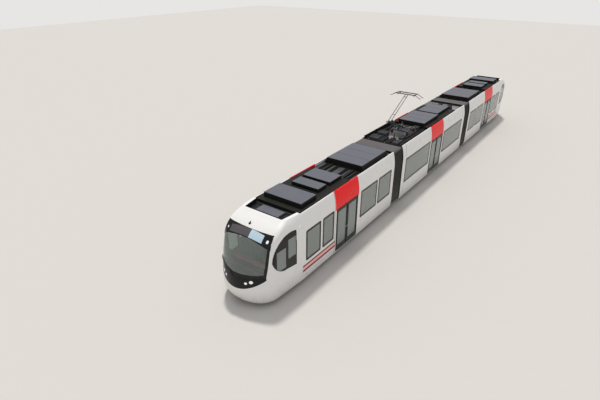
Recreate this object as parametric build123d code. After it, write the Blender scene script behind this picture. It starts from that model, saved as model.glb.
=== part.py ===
from build123d import *
import math
import os

# A double-ended low-floor tram of three sections on four swivelling bogies, in millimetres.
# +X points to the front cab, +Y to the left side and +Z up. The origin is the centre of the
# footprint, at the lowest point of the wheel flanges. Each end section is made once, for the
# front, and turned by half a turn about Z for the rear.

# Lengths of the sections, and the stations that follow from them along the tram
MIDDLE_HALF = 4450.0
GANGWAY = 950.0
END_LENGTH = 7300.0
NOSE_LENGTH = 2350.0
END_START = MIDDLE_HALF + GANGWAY
PIVOT_X = MIDDLE_HALF + GANGWAY / 2
CAB_JOINT = END_START + END_LENGTH
NOSE_TIP = CAB_JOINT + NOSE_LENGTH
END_BOGIE_X = CAB_JOINT - 950.0
MIDDLE_BOGIE_X = MIDDLE_HALF - 1700.0
END_DOOR_X = CAB_JOINT - 3085.0

# Body shell, as seen from the end
BODY_HALF = 1200.0
SKIRT_BOTTOM = 230.0
SKIRT_TUCK = 25.0
SKIRT_KNEE = 480.0
COVE_START = 2280.0
ROOF_EDGE_HALF = 1080.0
ROOF_EDGE_TOP = 3010.0
ROOF_LIP = 40.0
DECK_TOP = 2880.0
DECK_HALF = ROOF_EDGE_HALF - ROOF_LIP
CEILING = 2790.0
CEILING_HALF = 1000.0
WALL = 60.0
INNER_HALF = BODY_HALF - WALL

# End walls and the passage through them
END_WALL = 50.0
PASSAGE_HALF = 620.0
PASSAGE_TOP = 2350.0

# Doors: two leaves that meet in the middle
DOOR_HALF = 800.0
DOOR_BOTTOM = 330.0
DOOR_TOP = 2200.0
DOOR_THICK = 45.0
DOOR_RECESS = 10.0
DOOR_SEAM = 6.0
DOOR_STILE = 90.0
DOOR_GLASS_BOTTOM = 520.0
DOOR_GLASS_TOP = 2090.0

# Windows: each bay runs between two stations and is shared out between its windows
WINDOW_BOTTOM = 1010.0
WINDOW_TOP = 2270.0
WINDOW_RADIUS = 70.0
PANE = 12.0
# columns: from and to along X, share of each window, pillar between two windows
END_BAYS = [
    (END_START + 300, END_DOOR_X - DOOR_HALF - 295, (123, 144), 150),
    (END_DOOR_X + DOOR_HALF + 225, CAB_JOINT - 220, (76, 92), 160),
]
MIDDLE_BAYS = [
    (-MIDDLE_HALF + 430, -DOOR_HALF - 200, (1,), 0),
    (DOOR_HALF + 200, MIDDLE_HALF - 350, (1,), 0),
]

# Wheels and axles
WHEEL_RADIUS = 300.0
FLANGE_HEIGHT = 26.0
AXLE_Z = WHEEL_RADIUS + FLANGE_HEIGHT
WHEELBASE = 1800.0
BACK_TO_BACK = 1000.0
RIM_WIDTH = 108.0
AXLE_RADIUS = 60.0
JOURNAL_RADIUS = 50.0
HUB_RADIUS = 95.0
RIM_INNER = 235.0
DISC_RADIUS = 190.0
RUNNING = 0.3

# Wheel boxes above the bogies
WELL_HALF_LENGTH = WHEELBASE / 2 + AXLE_Z + 65.0
WELL_INNER = 315.0
WELL_TOP = 670.0
WELL_WALL = 12.0
BOX_TOP = WELL_TOP + WELL_WALL
CAB_WELL_HALF = 1120.0

# Floor
FLOOR_LOW = 370.0
FLOOR_HIGH = 460.0
FLOOR_THICK = 50.0
HIGH_UNDERSIDE = FLOOR_HIGH - FLOOR_THICK
LOW_UNDERSIDE = FLOOR_LOW - FLOOR_THICK
RAMP_START = DOOR_HALF + 50
RAMP_END = MIDDLE_BOGIE_X - 1050
END_RAMP_LOW = END_DOOR_X - DOOR_HALF - 515
END_RAMP_HIGH = END_RAMP_LOW - 1000
CAB_RAMP_LOW = END_BOGIE_X - WELL_HALF_LENGTH - WELL_WALL
CAB_RAMP_HIGH = CAB_RAMP_LOW + 360
RAMP_SEAL = 190.0
CAB_FLOOR_END = CAB_JOINT + 1400
CAB_FLOOR_HALF = 1020.0
SILL_WIDTH = 110.0
SILL_BOTTOM = 260.0
PAD_LENGTH = 160.0
PAD_BOTTOM = 235.0

# Body pins and bogie frames
PIVOT_RADIUS = 80.0
PIVOT_BOTTOM = 200.0
BOLSTER_HALF = 200.0
BOLSTER_BOTTOM = 215.0
BOLSTER_TOP = 385.0
BOX_INNER = 690.0
BOX_OUTER = 800.0
BOX_RADIUS = 110.0
CAP_THICK = 12.0
BEAM_INNER = 700.0
BEAM_OUTER = 785.0
# columns: x from the bogie's centre, z
BEAM_MIDDLE = [(0, 380), (0, 190), (420, 190)]
BEAM_SHOULDER = (380, 380)
# columns: x from the axle, z
BEAM_END = [(-340, 250), (140, 250), (185, 330), (100, 425), (-380, 425)]
CROSS_X = 330.0
CROSS_Z = 300.0
CROSS_RADIUS = 75.0
MOTOR_Y = 430.0
MOTOR_RADIUS = 95.0
# columns: y, half-width; z from and to
RAIL_BRAKE = (540, 35, 60, 150)
RAIL_BRAKE_HALF = 480.0
BRAKE_HANGER = (540, 20, 145, 260)
SPRING_Y = 740.0
SPRING_RADIUS = 150.0
SPRING_BOTTOM = 379.0
GROOVE_DEPTH = 22.0
GROOVE_HEIGHT = 28.0
GROOVES = [430, 505, 580]

# Articulation under the gangway floor
TURNTABLE_RADIUS = GANGWAY / 2 - 20
TURNTABLE_GAP = 15.0
WING_HALF = 400.0
WING_START = 240.0
PIN_RADIUS = 60.0
PIN_BOTTOM = 250.0
EYE_RADIUS = 130.0
EYE_BOTTOM = 290.0
EYE_TOP = 350.0
ARM_HALF = 100.0
ARM_REACH = 700.0
BRACKET_HALF = 110.0
BRACKET_BOTTOM = 355.0
TONGUE = (60, 220)

# Bellows
BELLOWS_INSET = 15.0
BELLOWS_DEPTH = 70.0
BELLOWS_INNER_HALF = 690.0
BELLOWS_INNER_TOP = 2420.0
BELLOWS_BOTTOM = 260.0
FOLDS = 8

# Roof gear
BASE_HALF = 1030.0
BASE_TOP = 3010.0
LID = 30.0
LID_EDGE = 12.0
# columns: from and to along X, half-width, top
END_BOXES = [
    (CAB_JOINT - 1310, CAB_JOINT - 350, 860, 3190),
    (CAB_JOINT - 2340, CAB_JOINT - 1760, 630, 3150),
    (CAB_JOINT - 3400, CAB_JOINT - 2540, 650, 3150),
]
END_BASE = (CAB_JOINT - 3470, CAB_JOINT - 60)
BIG_BOX = (END_START + 370, END_START + 2630, 880, 3160)
SLAB = (CAB_JOINT + 100, CAB_JOINT + 530, 500, 2950)
MIDDLE_BOXES = [(-980, 1060, 740, 3190), (-3050, -1210, 600, 3170)]
MIDDLE_BASE = (-3080, 1090)
MIDDLE_BASE_HALF = 970.0
BAR_BOX = (-3560, -3300, 640, 3040)
FENCE = (1160, MIDDLE_HALF - 70)
FENCE_TOP = 3090.0
FENCE_THICK = 40.0
LOUVRE_PITCH = 95.0
LOUVRE_WIDTH = 55.0
LOUVRE_DEPTH = 14.0
LOUVRE_EDGE = 45.0

# Cab nose: plan sections from the bottom up
# columns: z, tip from the cab joint, half-width of the front arc, its rise, half-width of the shoulder
# and of the joint
NOSE = [
    (220, 2130, 640, 150, 1080, 1166),
    (430, 2280, 680, 190, 1115, 1192),
    (1000, NOSE_LENGTH, 700, 215, 1126, 1200),
    (1400, 2285, 720, 205, 1128, 1200),
    (1900, 2100, 770, 170, 1132, 1200),
    (2350, 1830, 850, 120, 1134, 1199),
    (2650, 1580, 900, 80, 1118, 1170),
    (2830, 1330, 890, 60, 1085, 1133),
    (2950, 1060, 850, 50, 1045, 1099),
    (3050, 800, 800, 40, 1000, 1050),
]
SIDE_ANGLE = math.radians(87.5)
NOSE_SKIN = 45.0
# columns: x from the cab joint, half-width of the roof recess
RECESS = [(-1, 930), (720, 830)]
RECESS_DEPTH = 300.0
DRAWBAR_SLOT = 130.0
DRAWBAR_SLOT_TOP = 370.0

# Windscreen and the black mask under it, as seen from the front
SCREEN_TOP = 2780.0
SCREEN_MIDDLE = 2050.0
SCREEN_BOTTOM = 1380.0
SCREEN_HALF = 1000.0
SCREEN_MIDDLE_HALF = 1035.0
SCREEN_SAG = 20.0
MASK_DIP = 880.0
MASK_END = 1240.0
CUT_FROM = CAB_JOINT + 1050
CUT_TO = NOSE_TIP + 100

# Lamps: y, z, radius, on the mask and at the top of the windscreen
HEADLAMPS = [(-620, 1215, 62), (-450, 1150, 50), (450, 1150, 50), (620, 1215, 62)]
MARKERS = [(-880, 2600, 42), (880, 2600, 58)]

# Cab side window, seen from the side
# columns: x from the cab joint, z
CAB_WINDOW_REAR = [(350, 1180), (350, 2590)]
CAB_WINDOW_ARCS = [
    [(350, 2590), (920, 2610), (1300, 2450)],
    [(1300, 2450), (1510, 2150), (1580, 1830)],
    [(1580, 1830), (1360, 1460), (940, 1250)],
]
CAB_WINDOW_INNER = 900.0

# Seats: the outline from the side, then the place of each seat
# columns: forward from the back's foot, up
SEAT_OUTLINE = [(0, 0), (430, 0), (430, 78), (70, 62), (-62, 620), (-108, 620), (-20, 60)]
SEAT_ROUNDING = 14.0
SEAT_INNER = 345.0
SEAT_OUTER = 1115.0
SEAT_SPLIT = 22.0
SEAT_PAN = 80.0
SEAT_DEPTH = 430.0
SEAT_HEIGHT = 400.0
PEDESTAL_HALF = 120.0
# columns: x, facing
END_BOX_SEATS = [(END_BOGIE_X + 810, -1), (END_BOGIE_X - 330, 1), (END_BOGIE_X - 590, -1)]
END_FLOOR_SEATS = [(END_START + 1830, -1), (END_START + 880, 1), (END_START + 660, -1)]
MIDDLE_BOX_SEATS = [
    (MIDDLE_BOGIE_X - 1130, 1), (MIDDLE_BOGIE_X - 10, -1),
    (MIDDLE_BOGIE_X + 110, 1), (MIDDLE_BOGIE_X + 1200, -1),
]

# Draught screens beside the doors
DRAUGHT_OFFSET = DOOR_HALF + 15
DRAUGHT_THICK = 24.0
DRAUGHT_INNER = 580.0
DRAUGHT_TOP = 1330.0
DRAUGHT_ROUNDING = 120.0

# Cab: bulkhead behind the driver, driver's seat and desk, from the cab joint
BULKHEAD = (80, 130)
BULKHEAD_DOOR = (330, 2150)
# columns: y from and to, z from and to
BULKHEAD_WINDOW = (420, 1000, 1150, 2250)
DRIVER_HALF = 260.0
# columns: x from the cab joint, z from the floor
DRIVER_OUTLINE = [(440, 330), (850, 350), (850, 430), (500, 425), (440, 1090), (370, 1090)]
DRIVER_POST = (660, 90)
DESK_HALF = 800.0
# columns: x from the cab joint, z
DESK_OUTLINE = [(1100, 460), (1360, 460), (1720, 1120), (1600, 1210), (1180, 1120)]

# Current collector: shaft, knee and head, with the guide rod beside the lower arm
COLLECTOR_X = 2050.0
SHAFT_Z = 3120.0
SHAFT_RADIUS = 28.0
SHAFT_HALF = 480.0
KNEE = (3850.0, 3880.0)
KNEE_PIN = 14.0
HEAD_PIVOT_Z = 4850.0
HEAD_PIN = 16.0
LOWER_RADIUS = 32.0
UPPER_RADIUS = 18.0
UPPER_SPREAD = 70.0
EYE_HALF = 11.0
HEAD_HALF = 520.0
HORN_HALF = 820.0
HORN_DROP = 150.0
HORN_RADIUS = 14.0
STRIP_SPACING = 330.0
STRIP_HALF = 22.0
STRIP = (25, 60)
BASE_POSTS = (420, 430)
POST_RADIUS = 45.0
SHED_RADIUS = 75.0
SHEDS = [40, 78, 116]
SHED_HEIGHT = 14.0
FRAME_BAR = 30.0
FRAME_Z = (SHAFT_Z - 90, SHAFT_Z - 40)
GUIDE_FOOT = (COLLECTOR_X + 300, SHAFT_Z + 30)
GUIDE_TAIL = (KNEE[0] + 88.6, KNEE[1] - 15.6)
GUIDE_Y = -110.0
GUIDE_RADIUS = 12.0
GUIDE_PIN = 12.0
GUIDE_PLAY = 6.0

# Drawbar bracket at each end
DRAWBAR_X = NOSE_TIP - 350.0
DRAWBAR_START = CAB_JOINT + 200.0
DRAWBAR_HALF = 90.0
DRAWBAR_BORE = 25.0
DRAWBAR_BOTTOM = 250.0
DRAWBAR_TOP = 330.0


def block(x0, x1, y0, y1, z0, z1):
    """A box between two corners."""
    return Pos((x0 + x1) / 2, (y0 + y1) / 2, (z0 + z1) / 2) * Box(x1 - x0, y1 - y0, z1 - z0)


def both_sides(shape):
    """A shape and its mirror image across the centre line."""
    return shape + mirror(shape, about=Plane.XZ)


def flat_face(*edges):
    """The plane face inside a closed run of edges."""
    return make_face(Wire(list(edges)))


def rule(y0, z0, y1, z1, x=0.0):
    return Line((x, y0, z0), (x, y1, z1))


def bow(y0, z0, y1, z1, x=0.0):
    """An arc that leaves (y0, z0) straight up and ends at (y1, z1)."""
    radius = ((y1 - y0) ** 2 + (z1 - z0) ** 2) / (2 * abs(y1 - y0))
    half = math.asin(abs(z1 - z0) / radius) / 2
    side = math.copysign(1, y1 - y0)
    middle = (x, y0 + side * radius * (1 - math.cos(half)), z0 + radius * math.sin(half))
    return ThreePointArc((x, y0, z0), middle, (x, y1, z1))


def along_x(face, x0, x1):
    return extrude(Pos(x0, 0, 0) * face, amount=x1 - x0, dir=(1, 0, 0))


def outline_y(points, y0, y1):
    """A prism with a polygon outline in X and Z, between two Y planes."""
    corners = [(x, y0, z) for x, z in points]
    return extrude(make_face(Polyline(*corners, close=True)), amount=y1 - y0, dir=(0, 1, 0))


def rounded_y(x0, x1, z0, z1, radius, y0, y1):
    """A prism with a rounded rectangle as its outline in X and Z, between two Y planes."""
    plane = Plane(origin=((x0 + x1) / 2, y0, (z0 + z1) / 2), x_dir=(-1, 0, 0), z_dir=(0, 1, 0))
    return extrude(plane * RectangleRounded(x1 - x0, z1 - z0, radius), amount=y1 - y0)


def rod_y(x, z, radius, y0, y1):
    return Pos(x, (y0 + y1) / 2, z) * Rot(90, 0, 0) * Cylinder(radius, y1 - y0)


def rod_x(y, z, radius, x0, x1):
    return Pos((x0 + x1) / 2, y, z) * Rot(0, 90, 0) * Cylinder(radius, x1 - x0)


def rod_z(x, y, radius, z0, z1):
    return Pos(x, y, (z0 + z1) / 2) * Cylinder(radius, z1 - z0)


def tube(start, end, radius):
    """A straight round bar between two points."""
    way = Vector(*end) - Vector(*start)
    plane = Plane(origin=start, z_dir=way)
    return extrude(plane * Circle(radius), amount=way.length)


# Body shells


def outer_half(inset=0.0, bottom=SKIRT_BOTTOM):
    """The left half of the body's outline from the end, closed on the centre line."""
    side = BODY_HALF - inset
    roof = ROOF_EDGE_HALF - inset
    top = ROOF_EDGE_TOP - inset
    return flat_face(
        rule(0, bottom, side - SKIRT_TUCK, bottom),
        rule(side - SKIRT_TUCK, bottom, side, SKIRT_KNEE),
        rule(side, SKIRT_KNEE, side, COVE_START),
        bow(side, COVE_START, roof, top),
        rule(roof, top, 0, top),
        rule(0, top, 0, bottom),
    )


def inner_half():
    """The left half of the saloon's outline from the end, open at the bottom."""
    return flat_face(
        rule(0, SKIRT_BOTTOM, INNER_HALF, SKIRT_BOTTOM),
        rule(INNER_HALF, SKIRT_BOTTOM, INNER_HALF, COVE_START),
        bow(INNER_HALF, COVE_START, CEILING_HALF, CEILING),
        rule(CEILING_HALF, CEILING, 0, CEILING),
        rule(0, CEILING, 0, SKIRT_BOTTOM),
    )


def end_wall(x0, x1):
    """The wall beside a gangway, with the passage cut and a notch for the articulation arm."""
    wall = along_x(inner_half(), x0, x1)
    passage = block(x0 - 1, x1 + 1, -1, PASSAGE_HALF, FLOOR_HIGH, PASSAGE_TOP)
    notch = block(x0 - 1, x1 + 1, -1, INNER_HALF, SKIRT_BOTTOM - 1, FLOOR_HIGH)
    return wall - passage - notch


def window_spans(bays):
    """From and to along X of every window: each bay's room, shared out between its windows."""
    spans = []
    for start, end, shares, pillar in bays:
        room = end - start - pillar * (len(shares) - 1)
        x = start
        for share in shares:
            width = room * share / sum(shares)
            spans.append((x, x + width))
            x += width + pillar
    return spans


def windows(bays, y0, y1):
    """A rounded prism for each window of the left side, between two Y planes."""
    return [
        rounded_y(x0, x1, WINDOW_BOTTOM, WINDOW_TOP, WINDOW_RADIUS, y0, y1)
        for x0, x1 in window_spans(bays)
    ]


def body_shell(x0, x1, bays, door_x, walls):
    """Side walls, coves and roof of one section, with windows, doors and gangway walls."""
    half = along_x(outer_half(), x0, x1) - along_x(inner_half(), x0 - 1, x1 + 1)
    half -= block(x0 - 1, x1 + 1, -1, DECK_HALF, DECK_TOP, ROOF_EDGE_TOP + 1)
    for cutter in windows(bays, INNER_HALF - 1, BODY_HALF + 1):
        half -= cutter
    half -= block(
        door_x - DOOR_HALF, door_x + DOOR_HALF, INNER_HALF - 1, BODY_HALF + 1, DOOR_BOTTOM, DOOR_TOP
    )
    for wall in walls:
        half += end_wall(*wall)
    return both_sides(half)


def door_leaves(door_x):
    """Both leaves on the left side, with their glass cut out, and the glass itself."""
    y1 = BODY_HALF - DOOR_RECESS
    y0 = y1 - DOOR_THICK
    leaves = []
    panes = []
    for side in (-1, 1):
        near, far = sorted((door_x + side * DOOR_SEAM / 2, door_x + side * DOOR_HALF))
        leaf = block(near, far, y0, y1, DOOR_BOTTOM, DOOR_TOP)
        span = (near + DOOR_STILE, far - DOOR_STILE, DOOR_GLASS_BOTTOM, DOOR_GLASS_TOP)
        leaf -= rounded_y(*span, WINDOW_RADIUS, y0 - 1, y1 + 1)
        leaves.append(leaf)
        panes.append(rounded_y(*span, WINDOW_RADIUS, y1 - PANE, y1))
    return leaves, panes


def mirrored(shapes):
    return shapes + [mirror(shape, about=Plane.XZ) for shape in shapes]


# Floors


def floor_plate(points, bogies):
    """A floor of even thickness along a line of (x, z) points, open where the wheel boxes stand."""
    lower = [(x, z - FLOOR_THICK) for x, z in reversed(points)]
    plate = outline_y(list(points) + lower, -INNER_HALF, INNER_HALF)
    reach = WELL_HALF_LENGTH + WELL_WALL
    for x in bogies:
        well = block(x - reach, x + reach, WELL_INNER - WELL_WALL, INNER_HALF + 1, 0, BOX_TOP)
        plate -= both_sides(well)
    return plate


def wheel_box(x):
    """The hollow cover over the left wheels of a bogie, open at the bottom."""
    reach = WELL_HALF_LENGTH + WELL_WALL
    cover = block(x - reach, x + reach, WELL_INNER - WELL_WALL, INNER_HALF, HIGH_UNDERSIDE, BOX_TOP)
    return cover - wheel_well(x)


def wheel_well(x):
    """The room that the wheels on the left need when the bogie swings."""
    half = WELL_HALF_LENGTH
    return block(x - half, x + half, WELL_INNER, INNER_HALF - WELL_WALL, SKIRT_BOTTOM, WELL_TOP)


def end_wheel_boxes():
    """The covers of an end section: sealed against the ramp, and narrower inside the cab nose."""
    box = wheel_box(END_BOGIE_X)
    start = END_BOGIE_X - WELL_HALF_LENGTH
    end = END_BOGIE_X + WELL_HALF_LENGTH + WELL_WALL
    inner = WELL_INNER - WELL_WALL
    box += block(start - WELL_WALL, start + RAMP_SEAL, inner, WELL_INNER, LOW_UNDERSIDE, FLOOR_HIGH)
    box += block(start - WELL_WALL, start, inner, INNER_HALF, LOW_UNDERSIDE, FLOOR_HIGH)
    box -= block(CAB_JOINT, end + 1, CAB_WELL_HALF, INNER_HALF + 1, 0, BOX_TOP + 1)
    box += block(CAB_JOINT, end, CAB_WELL_HALF - WELL_WALL, CAB_WELL_HALF, HIGH_UNDERSIDE, BOX_TOP)
    return mirrored([box])


def middle_wheel_boxes():
    return mirrored([wheel_box(MIDDLE_BOGIE_X), wheel_box(-MIDDLE_BOGIE_X)])


def pivot_pin(x):
    """The pin that a bogie turns on, with its bearing collar."""
    collar = rod_z(x, 0, PIVOT_RADIUS * 2, BOLSTER_TOP + RUNNING, HIGH_UNDERSIDE + 1)
    return collar + rod_z(x, 0, PIVOT_RADIUS, PIVOT_BOTTOM, HIGH_UNDERSIDE + 1)


def sill(x0, x1, underside):
    """The left longitudinal sill under the floor, with a jacking pad near each end."""
    bar = block(x0, x1, INNER_HALF - SILL_WIDTH, INNER_HALF, SILL_BOTTOM, underside + 1)
    for x in (x0 + PAD_LENGTH, x1 - 2 * PAD_LENGTH):
        bar += block(x, x + PAD_LENGTH, INNER_HALF - SILL_WIDTH, INNER_HALF, PAD_BOTTOM, SILL_BOTTOM + 1)
    return bar


def articulation_arm():
    """The arm of an end section, with the eye that turns on the middle section's pin."""
    arm = block(PIVOT_X, END_START + ARM_REACH, -ARM_HALF, ARM_HALF, EYE_BOTTOM, EYE_TOP)
    arm += rod_z(PIVOT_X, 0, EYE_RADIUS, EYE_BOTTOM, EYE_TOP)
    arm -= rod_z(PIVOT_X, 0, PIN_RADIUS + RUNNING, 0, FLOOR_LOW)
    root = END_START + ARM_HALF
    return arm + block(root, END_START + ARM_REACH, -ARM_HALF, ARM_HALF, EYE_TOP - 1, HIGH_UNDERSIDE + 1)


def drawbar():
    """The towing bracket under the nose, with its bore."""
    bar = block(DRAWBAR_START, DRAWBAR_X + 60, -DRAWBAR_HALF, DRAWBAR_HALF, DRAWBAR_BOTTOM, DRAWBAR_TOP)
    bar += block(
        DRAWBAR_START, CAB_FLOOR_END, -DRAWBAR_HALF, DRAWBAR_HALF, DRAWBAR_TOP - 1, HIGH_UNDERSIDE + 1
    )
    return bar - rod_z(DRAWBAR_X, 0, DRAWBAR_BORE, 0, FLOOR_LOW)


def end_floor():
    line = [
        (END_START, FLOOR_HIGH), (END_RAMP_HIGH, FLOOR_HIGH), (END_RAMP_LOW, FLOOR_LOW),
        (CAB_RAMP_LOW, FLOOR_LOW), (CAB_RAMP_HIGH, FLOOR_HIGH), (CAB_JOINT, FLOOR_HIGH),
    ]
    floor = floor_plate(line, [END_BOGIE_X])
    cab = block(CAB_JOINT, CAB_FLOOR_END, -CAB_FLOOR_HALF, CAB_FLOOR_HALF, HIGH_UNDERSIDE, FLOOR_HIGH)
    reach = WELL_HALF_LENGTH + WELL_WALL
    cab -= both_sides(block(
        CAB_JOINT - 1, END_BOGIE_X + reach, WELL_INNER - WELL_WALL, INNER_HALF, 0, BOX_TOP
    ))
    floor += cab
    floor += pivot_pin(END_BOGIE_X)
    floor += both_sides(sill(END_RAMP_LOW, CAB_RAMP_LOW, LOW_UNDERSIDE))
    wing = block(PIVOT_X + WING_START, END_START, -WING_HALF, WING_HALF, HIGH_UNDERSIDE, FLOOR_HIGH)
    floor += wing - rod_z(PIVOT_X, 0, TURNTABLE_RADIUS + TURNTABLE_GAP, 0, FLOOR_HIGH + 1)
    return floor + articulation_arm() + drawbar()


def middle_floor():
    half = [
        (0, FLOOR_LOW), (RAMP_START, FLOOR_LOW), (RAMP_END, FLOOR_HIGH), (MIDDLE_HALF, FLOOR_HIGH),
    ]
    line = [(-x, z) for x, z in reversed(half[1:])] + half[1:]
    floor = floor_plate(line, [-MIDDLE_BOGIE_X, MIDDLE_BOGIE_X])
    tongue_length, tongue_half = TONGUE
    for side in (-1, 1):
        floor += pivot_pin(side * MIDDLE_BOGIE_X)
        pivot = side * PIVOT_X
        wall = side * MIDDLE_HALF
        near, far = sorted((wall, wall + side * tongue_length))
        floor += rod_z(pivot, 0, TURNTABLE_RADIUS, HIGH_UNDERSIDE, FLOOR_HIGH)
        floor += block(near, far, -tongue_half, tongue_half, HIGH_UNDERSIDE, FLOOR_HIGH)
        near, far = sorted((pivot, wall - side * 2 * ARM_HALF))
        floor += block(near, far, -BRACKET_HALF, BRACKET_HALF, BRACKET_BOTTOM, HIGH_UNDERSIDE + 1)
        floor += rod_z(pivot, 0, BRACKET_HALF, BRACKET_BOTTOM, HIGH_UNDERSIDE + 1)
        floor += rod_z(pivot, 0, PIN_RADIUS, PIN_BOTTOM, BRACKET_BOTTOM + 1)
    return floor + both_sides(sill(-RAMP_START, RAMP_START, LOW_UNDERSIDE))


# Cab nose


def nose_row(z):
    """The plan section at a height, between the table's rows."""
    for low, high in zip(NOSE, NOSE[1:]):
        if low[0] <= z <= high[0]:
            share = (z - low[0]) / (high[0] - low[0])
            return [a + share * (b - a) for a, b in zip(low, high)]
    raise ValueError(z)


def nose_section(row, inset, back):
    """One closed plan section: front arc, corner arcs and sides, drawn inwards by inset."""
    z, reach, front, rise, shoulder, joint = row
    tip = CAB_JOINT + reach
    start = 2 * math.atan(rise / front)
    chord = (start + SIDE_ANGLE) / 2
    bend = (SIDE_ANGLE - start) / 2
    corner = (tip - rise, front)
    far = (corner[0] - (shoulder - front) * math.tan(chord), shoulder)
    length = math.dist(corner, far)
    sagitta = length / 2 * math.tan(bend / 2)
    middle = (
        (corner[0] + far[0]) / 2 + sagitta * math.cos(chord),
        (corner[1] + far[1]) / 2 + sagitta * math.sin(chord),
    )
    angles = {"tip": 0.0, "corner": start, "middle": chord, "far": SIDE_ANGLE, "joint": math.pi / 2}
    points = {"tip": (tip, 0.0), "corner": corner, "middle": middle, "far": far, "joint": (back, joint)}
    moved = {
        name: (x - inset * math.cos(angles[name]), y - inset * math.sin(angles[name]))
        for name, (x, y) in points.items()
    }
    moved["joint"] = (back, joint - inset)

    def at(name, side):
        x, y = moved[name]
        return (x, side * y, z)

    edges = [
        ThreePointArc(at("corner", -1), at("tip", 1), at("corner", 1)),
        ThreePointArc(at("corner", 1), at("middle", 1), at("far", 1)),
        Line(at("far", 1), at("joint", 1)),
        Line(at("joint", 1), at("joint", -1)),
        Line(at("joint", -1), at("far", -1)),
        ThreePointArc(at("far", -1), at("middle", -1), at("corner", -1)),
    ]
    return make_face(Wire(edges))


def nose_form(inset, bottom, top, back):
    """The nose as a solid loft, drawn inwards by inset, between two heights."""
    rows = [nose_row(bottom)] + [row for row in NOSE if bottom < row[0] < top] + [nose_row(top)]
    return loft([nose_section(row, inset, back) for row in rows])


def screen_prism():
    """The windscreen's outline from the front, as a cutter along X."""
    x, half, top, low = CUT_FROM, SCREEN_HALF, SCREEN_TOP, SCREEN_BOTTOM
    middle, wide = SCREEN_MIDDLE, SCREEN_MIDDLE_HALF
    face = flat_face(
        rule(-half, top, half, top, x),
        ThreePointArc((x, half, top), (x, wide, middle), (x, half, low)),
        ThreePointArc((x, half, low), (x, 0, low - SCREEN_SAG), (x, -half, low)),
        ThreePointArc((x, -half, low), (x, -wide, middle), (x, -half, top)),
    )
    return extrude(face, amount=CUT_TO - x, dir=(1, 0, 0))


def mask_prism():
    """The black mask's outline from the front, as a cutter along X."""
    x, half, low = CUT_FROM, SCREEN_HALF, SCREEN_BOTTOM
    face = flat_face(
        ThreePointArc((x, half, low), (x, 0, low - SCREEN_SAG), (x, -half, low)),
        rule(-half, low, -half, MASK_END, x),
        ThreePointArc((x, -half, MASK_END), (x, 0, MASK_DIP), (x, half, MASK_END)),
        rule(half, MASK_END, half, low, x),
    )
    return extrude(face, amount=CUT_TO - x, dir=(1, 0, 0))


def cab_window_prism():
    """The left cab side window's outline from the side, as a cutter along Y."""
    y = CAB_WINDOW_INNER

    def at(point):
        return (CAB_JOINT + point[0], y, point[1])

    edges = [Line(*[at(point) for point in CAB_WINDOW_REAR])]
    edges += [ThreePointArc(*[at(point) for point in arc]) for arc in CAB_WINDOW_ARCS]
    edges.append(Line(at(CAB_WINDOW_ARCS[-1][-1]), at(CAB_WINDOW_REAR[0])))
    return extrude(make_face(Wire(edges)), amount=BODY_HALF + 100 - y, dir=(0, 1, 0))


def recess_prism():
    """The tapering recess in the white roof in front of the roof boxes."""
    (x0, half0), (x1, half1) = RECESS
    x0 += CAB_JOINT
    x1 += CAB_JOINT
    corners = [(x0, half0), (x1, half1), (x1, -half1), (x0, -half0)]
    plan = Polyline(*[(x, y, DECK_TOP) for x, y in corners], close=True)
    return extrude(make_face(plan), amount=RECESS_DEPTH, dir=(0, 0, 1))


def nose_parts():
    """The cab nose, windscreen, mask, cab side glass and lamps, from one lofted form."""
    bottom, top = NOSE[0][0], NOSE[-1][0]
    outer = nose_form(0, bottom, top, CAB_JOINT)
    skin = outer - nose_form(NOSE_SKIN, bottom, CEILING, CAB_JOINT - 100)
    glass = outer - nose_form(PANE, bottom, top, CAB_JOINT - 100)
    screen_cut = screen_prism()
    mask_cut = mask_prism()
    side_cut = both_sides(cab_window_prism())
    lamp_cuts = [rod_x(y, z, radius, CUT_FROM, CUT_TO) for y, z, radius in HEADLAMPS]
    marker_cuts = [rod_x(y, z, radius, CUT_FROM, CUT_TO) for y, z, radius in MARKERS]
    screen = glass & screen_cut
    mask = skin & mask_cut
    lamps = [mask & cut for cut in lamp_cuts] + [screen & cut for cut in marker_cuts]
    for cut in lamp_cuts:
        mask -= cut
    for cut in marker_cuts:
        screen -= cut
    side_glass = glass & side_cut
    nose = skin - screen_cut - mask_cut - side_cut - recess_prism()
    nose -= block(CAB_JOINT - 1, NOSE_TIP, -DRAWBAR_SLOT, DRAWBAR_SLOT, 0, DRAWBAR_SLOT_TOP)
    return {"nose": nose, "windscreen": screen, "mask": mask, "side": side_glass, "lamps": lamps}


# Roof gear


def housing(x0, x1, half, top, foot=None, bottom=BASE_TOP):
    """A roof box without its lid, upright or with sloping sides, with louvres down both sides."""
    foot = half if foot is None else foot
    crest = top - LID
    corners = [(-foot, bottom), (foot, bottom), (half, crest), (-half, crest)]
    face = make_face(Polyline(*[(x0, y, z) for y, z in corners], close=True))
    body = extrude(face, amount=x1 - x0, dir=(1, 0, 0))
    slope = (half - foot) / (crest - bottom)
    low, high = bottom + LOUVRE_EDGE, crest - LOUVRE_EDGE
    deep = foot + slope * LOUVRE_EDGE - LOUVRE_DEPTH
    slant = slope * (high - low)
    outline = [(deep, low), (deep + 2 * LOUVRE_DEPTH, low), (deep + slant + 2 * LOUVRE_DEPTH, high), (deep + slant, high)]
    count = int((x1 - x0 - LOUVRE_EDGE) // LOUVRE_PITCH)
    start = (x0 + x1 - (count - 1) * LOUVRE_PITCH - LOUVRE_WIDTH) / 2
    for index in range(count):
        x = start + index * LOUVRE_PITCH
        face = make_face(Polyline(*[(x, y, z) for y, z in outline], close=True))
        body -= both_sides(extrude(face, amount=LOUVRE_WIDTH, dir=(1, 0, 0)))
    return body


def lid(x0, x1, half, top):
    edge = LID_EDGE
    return block(x0 + edge, x1 - edge, -half + edge, half - edge, top - LID, top)


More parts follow.
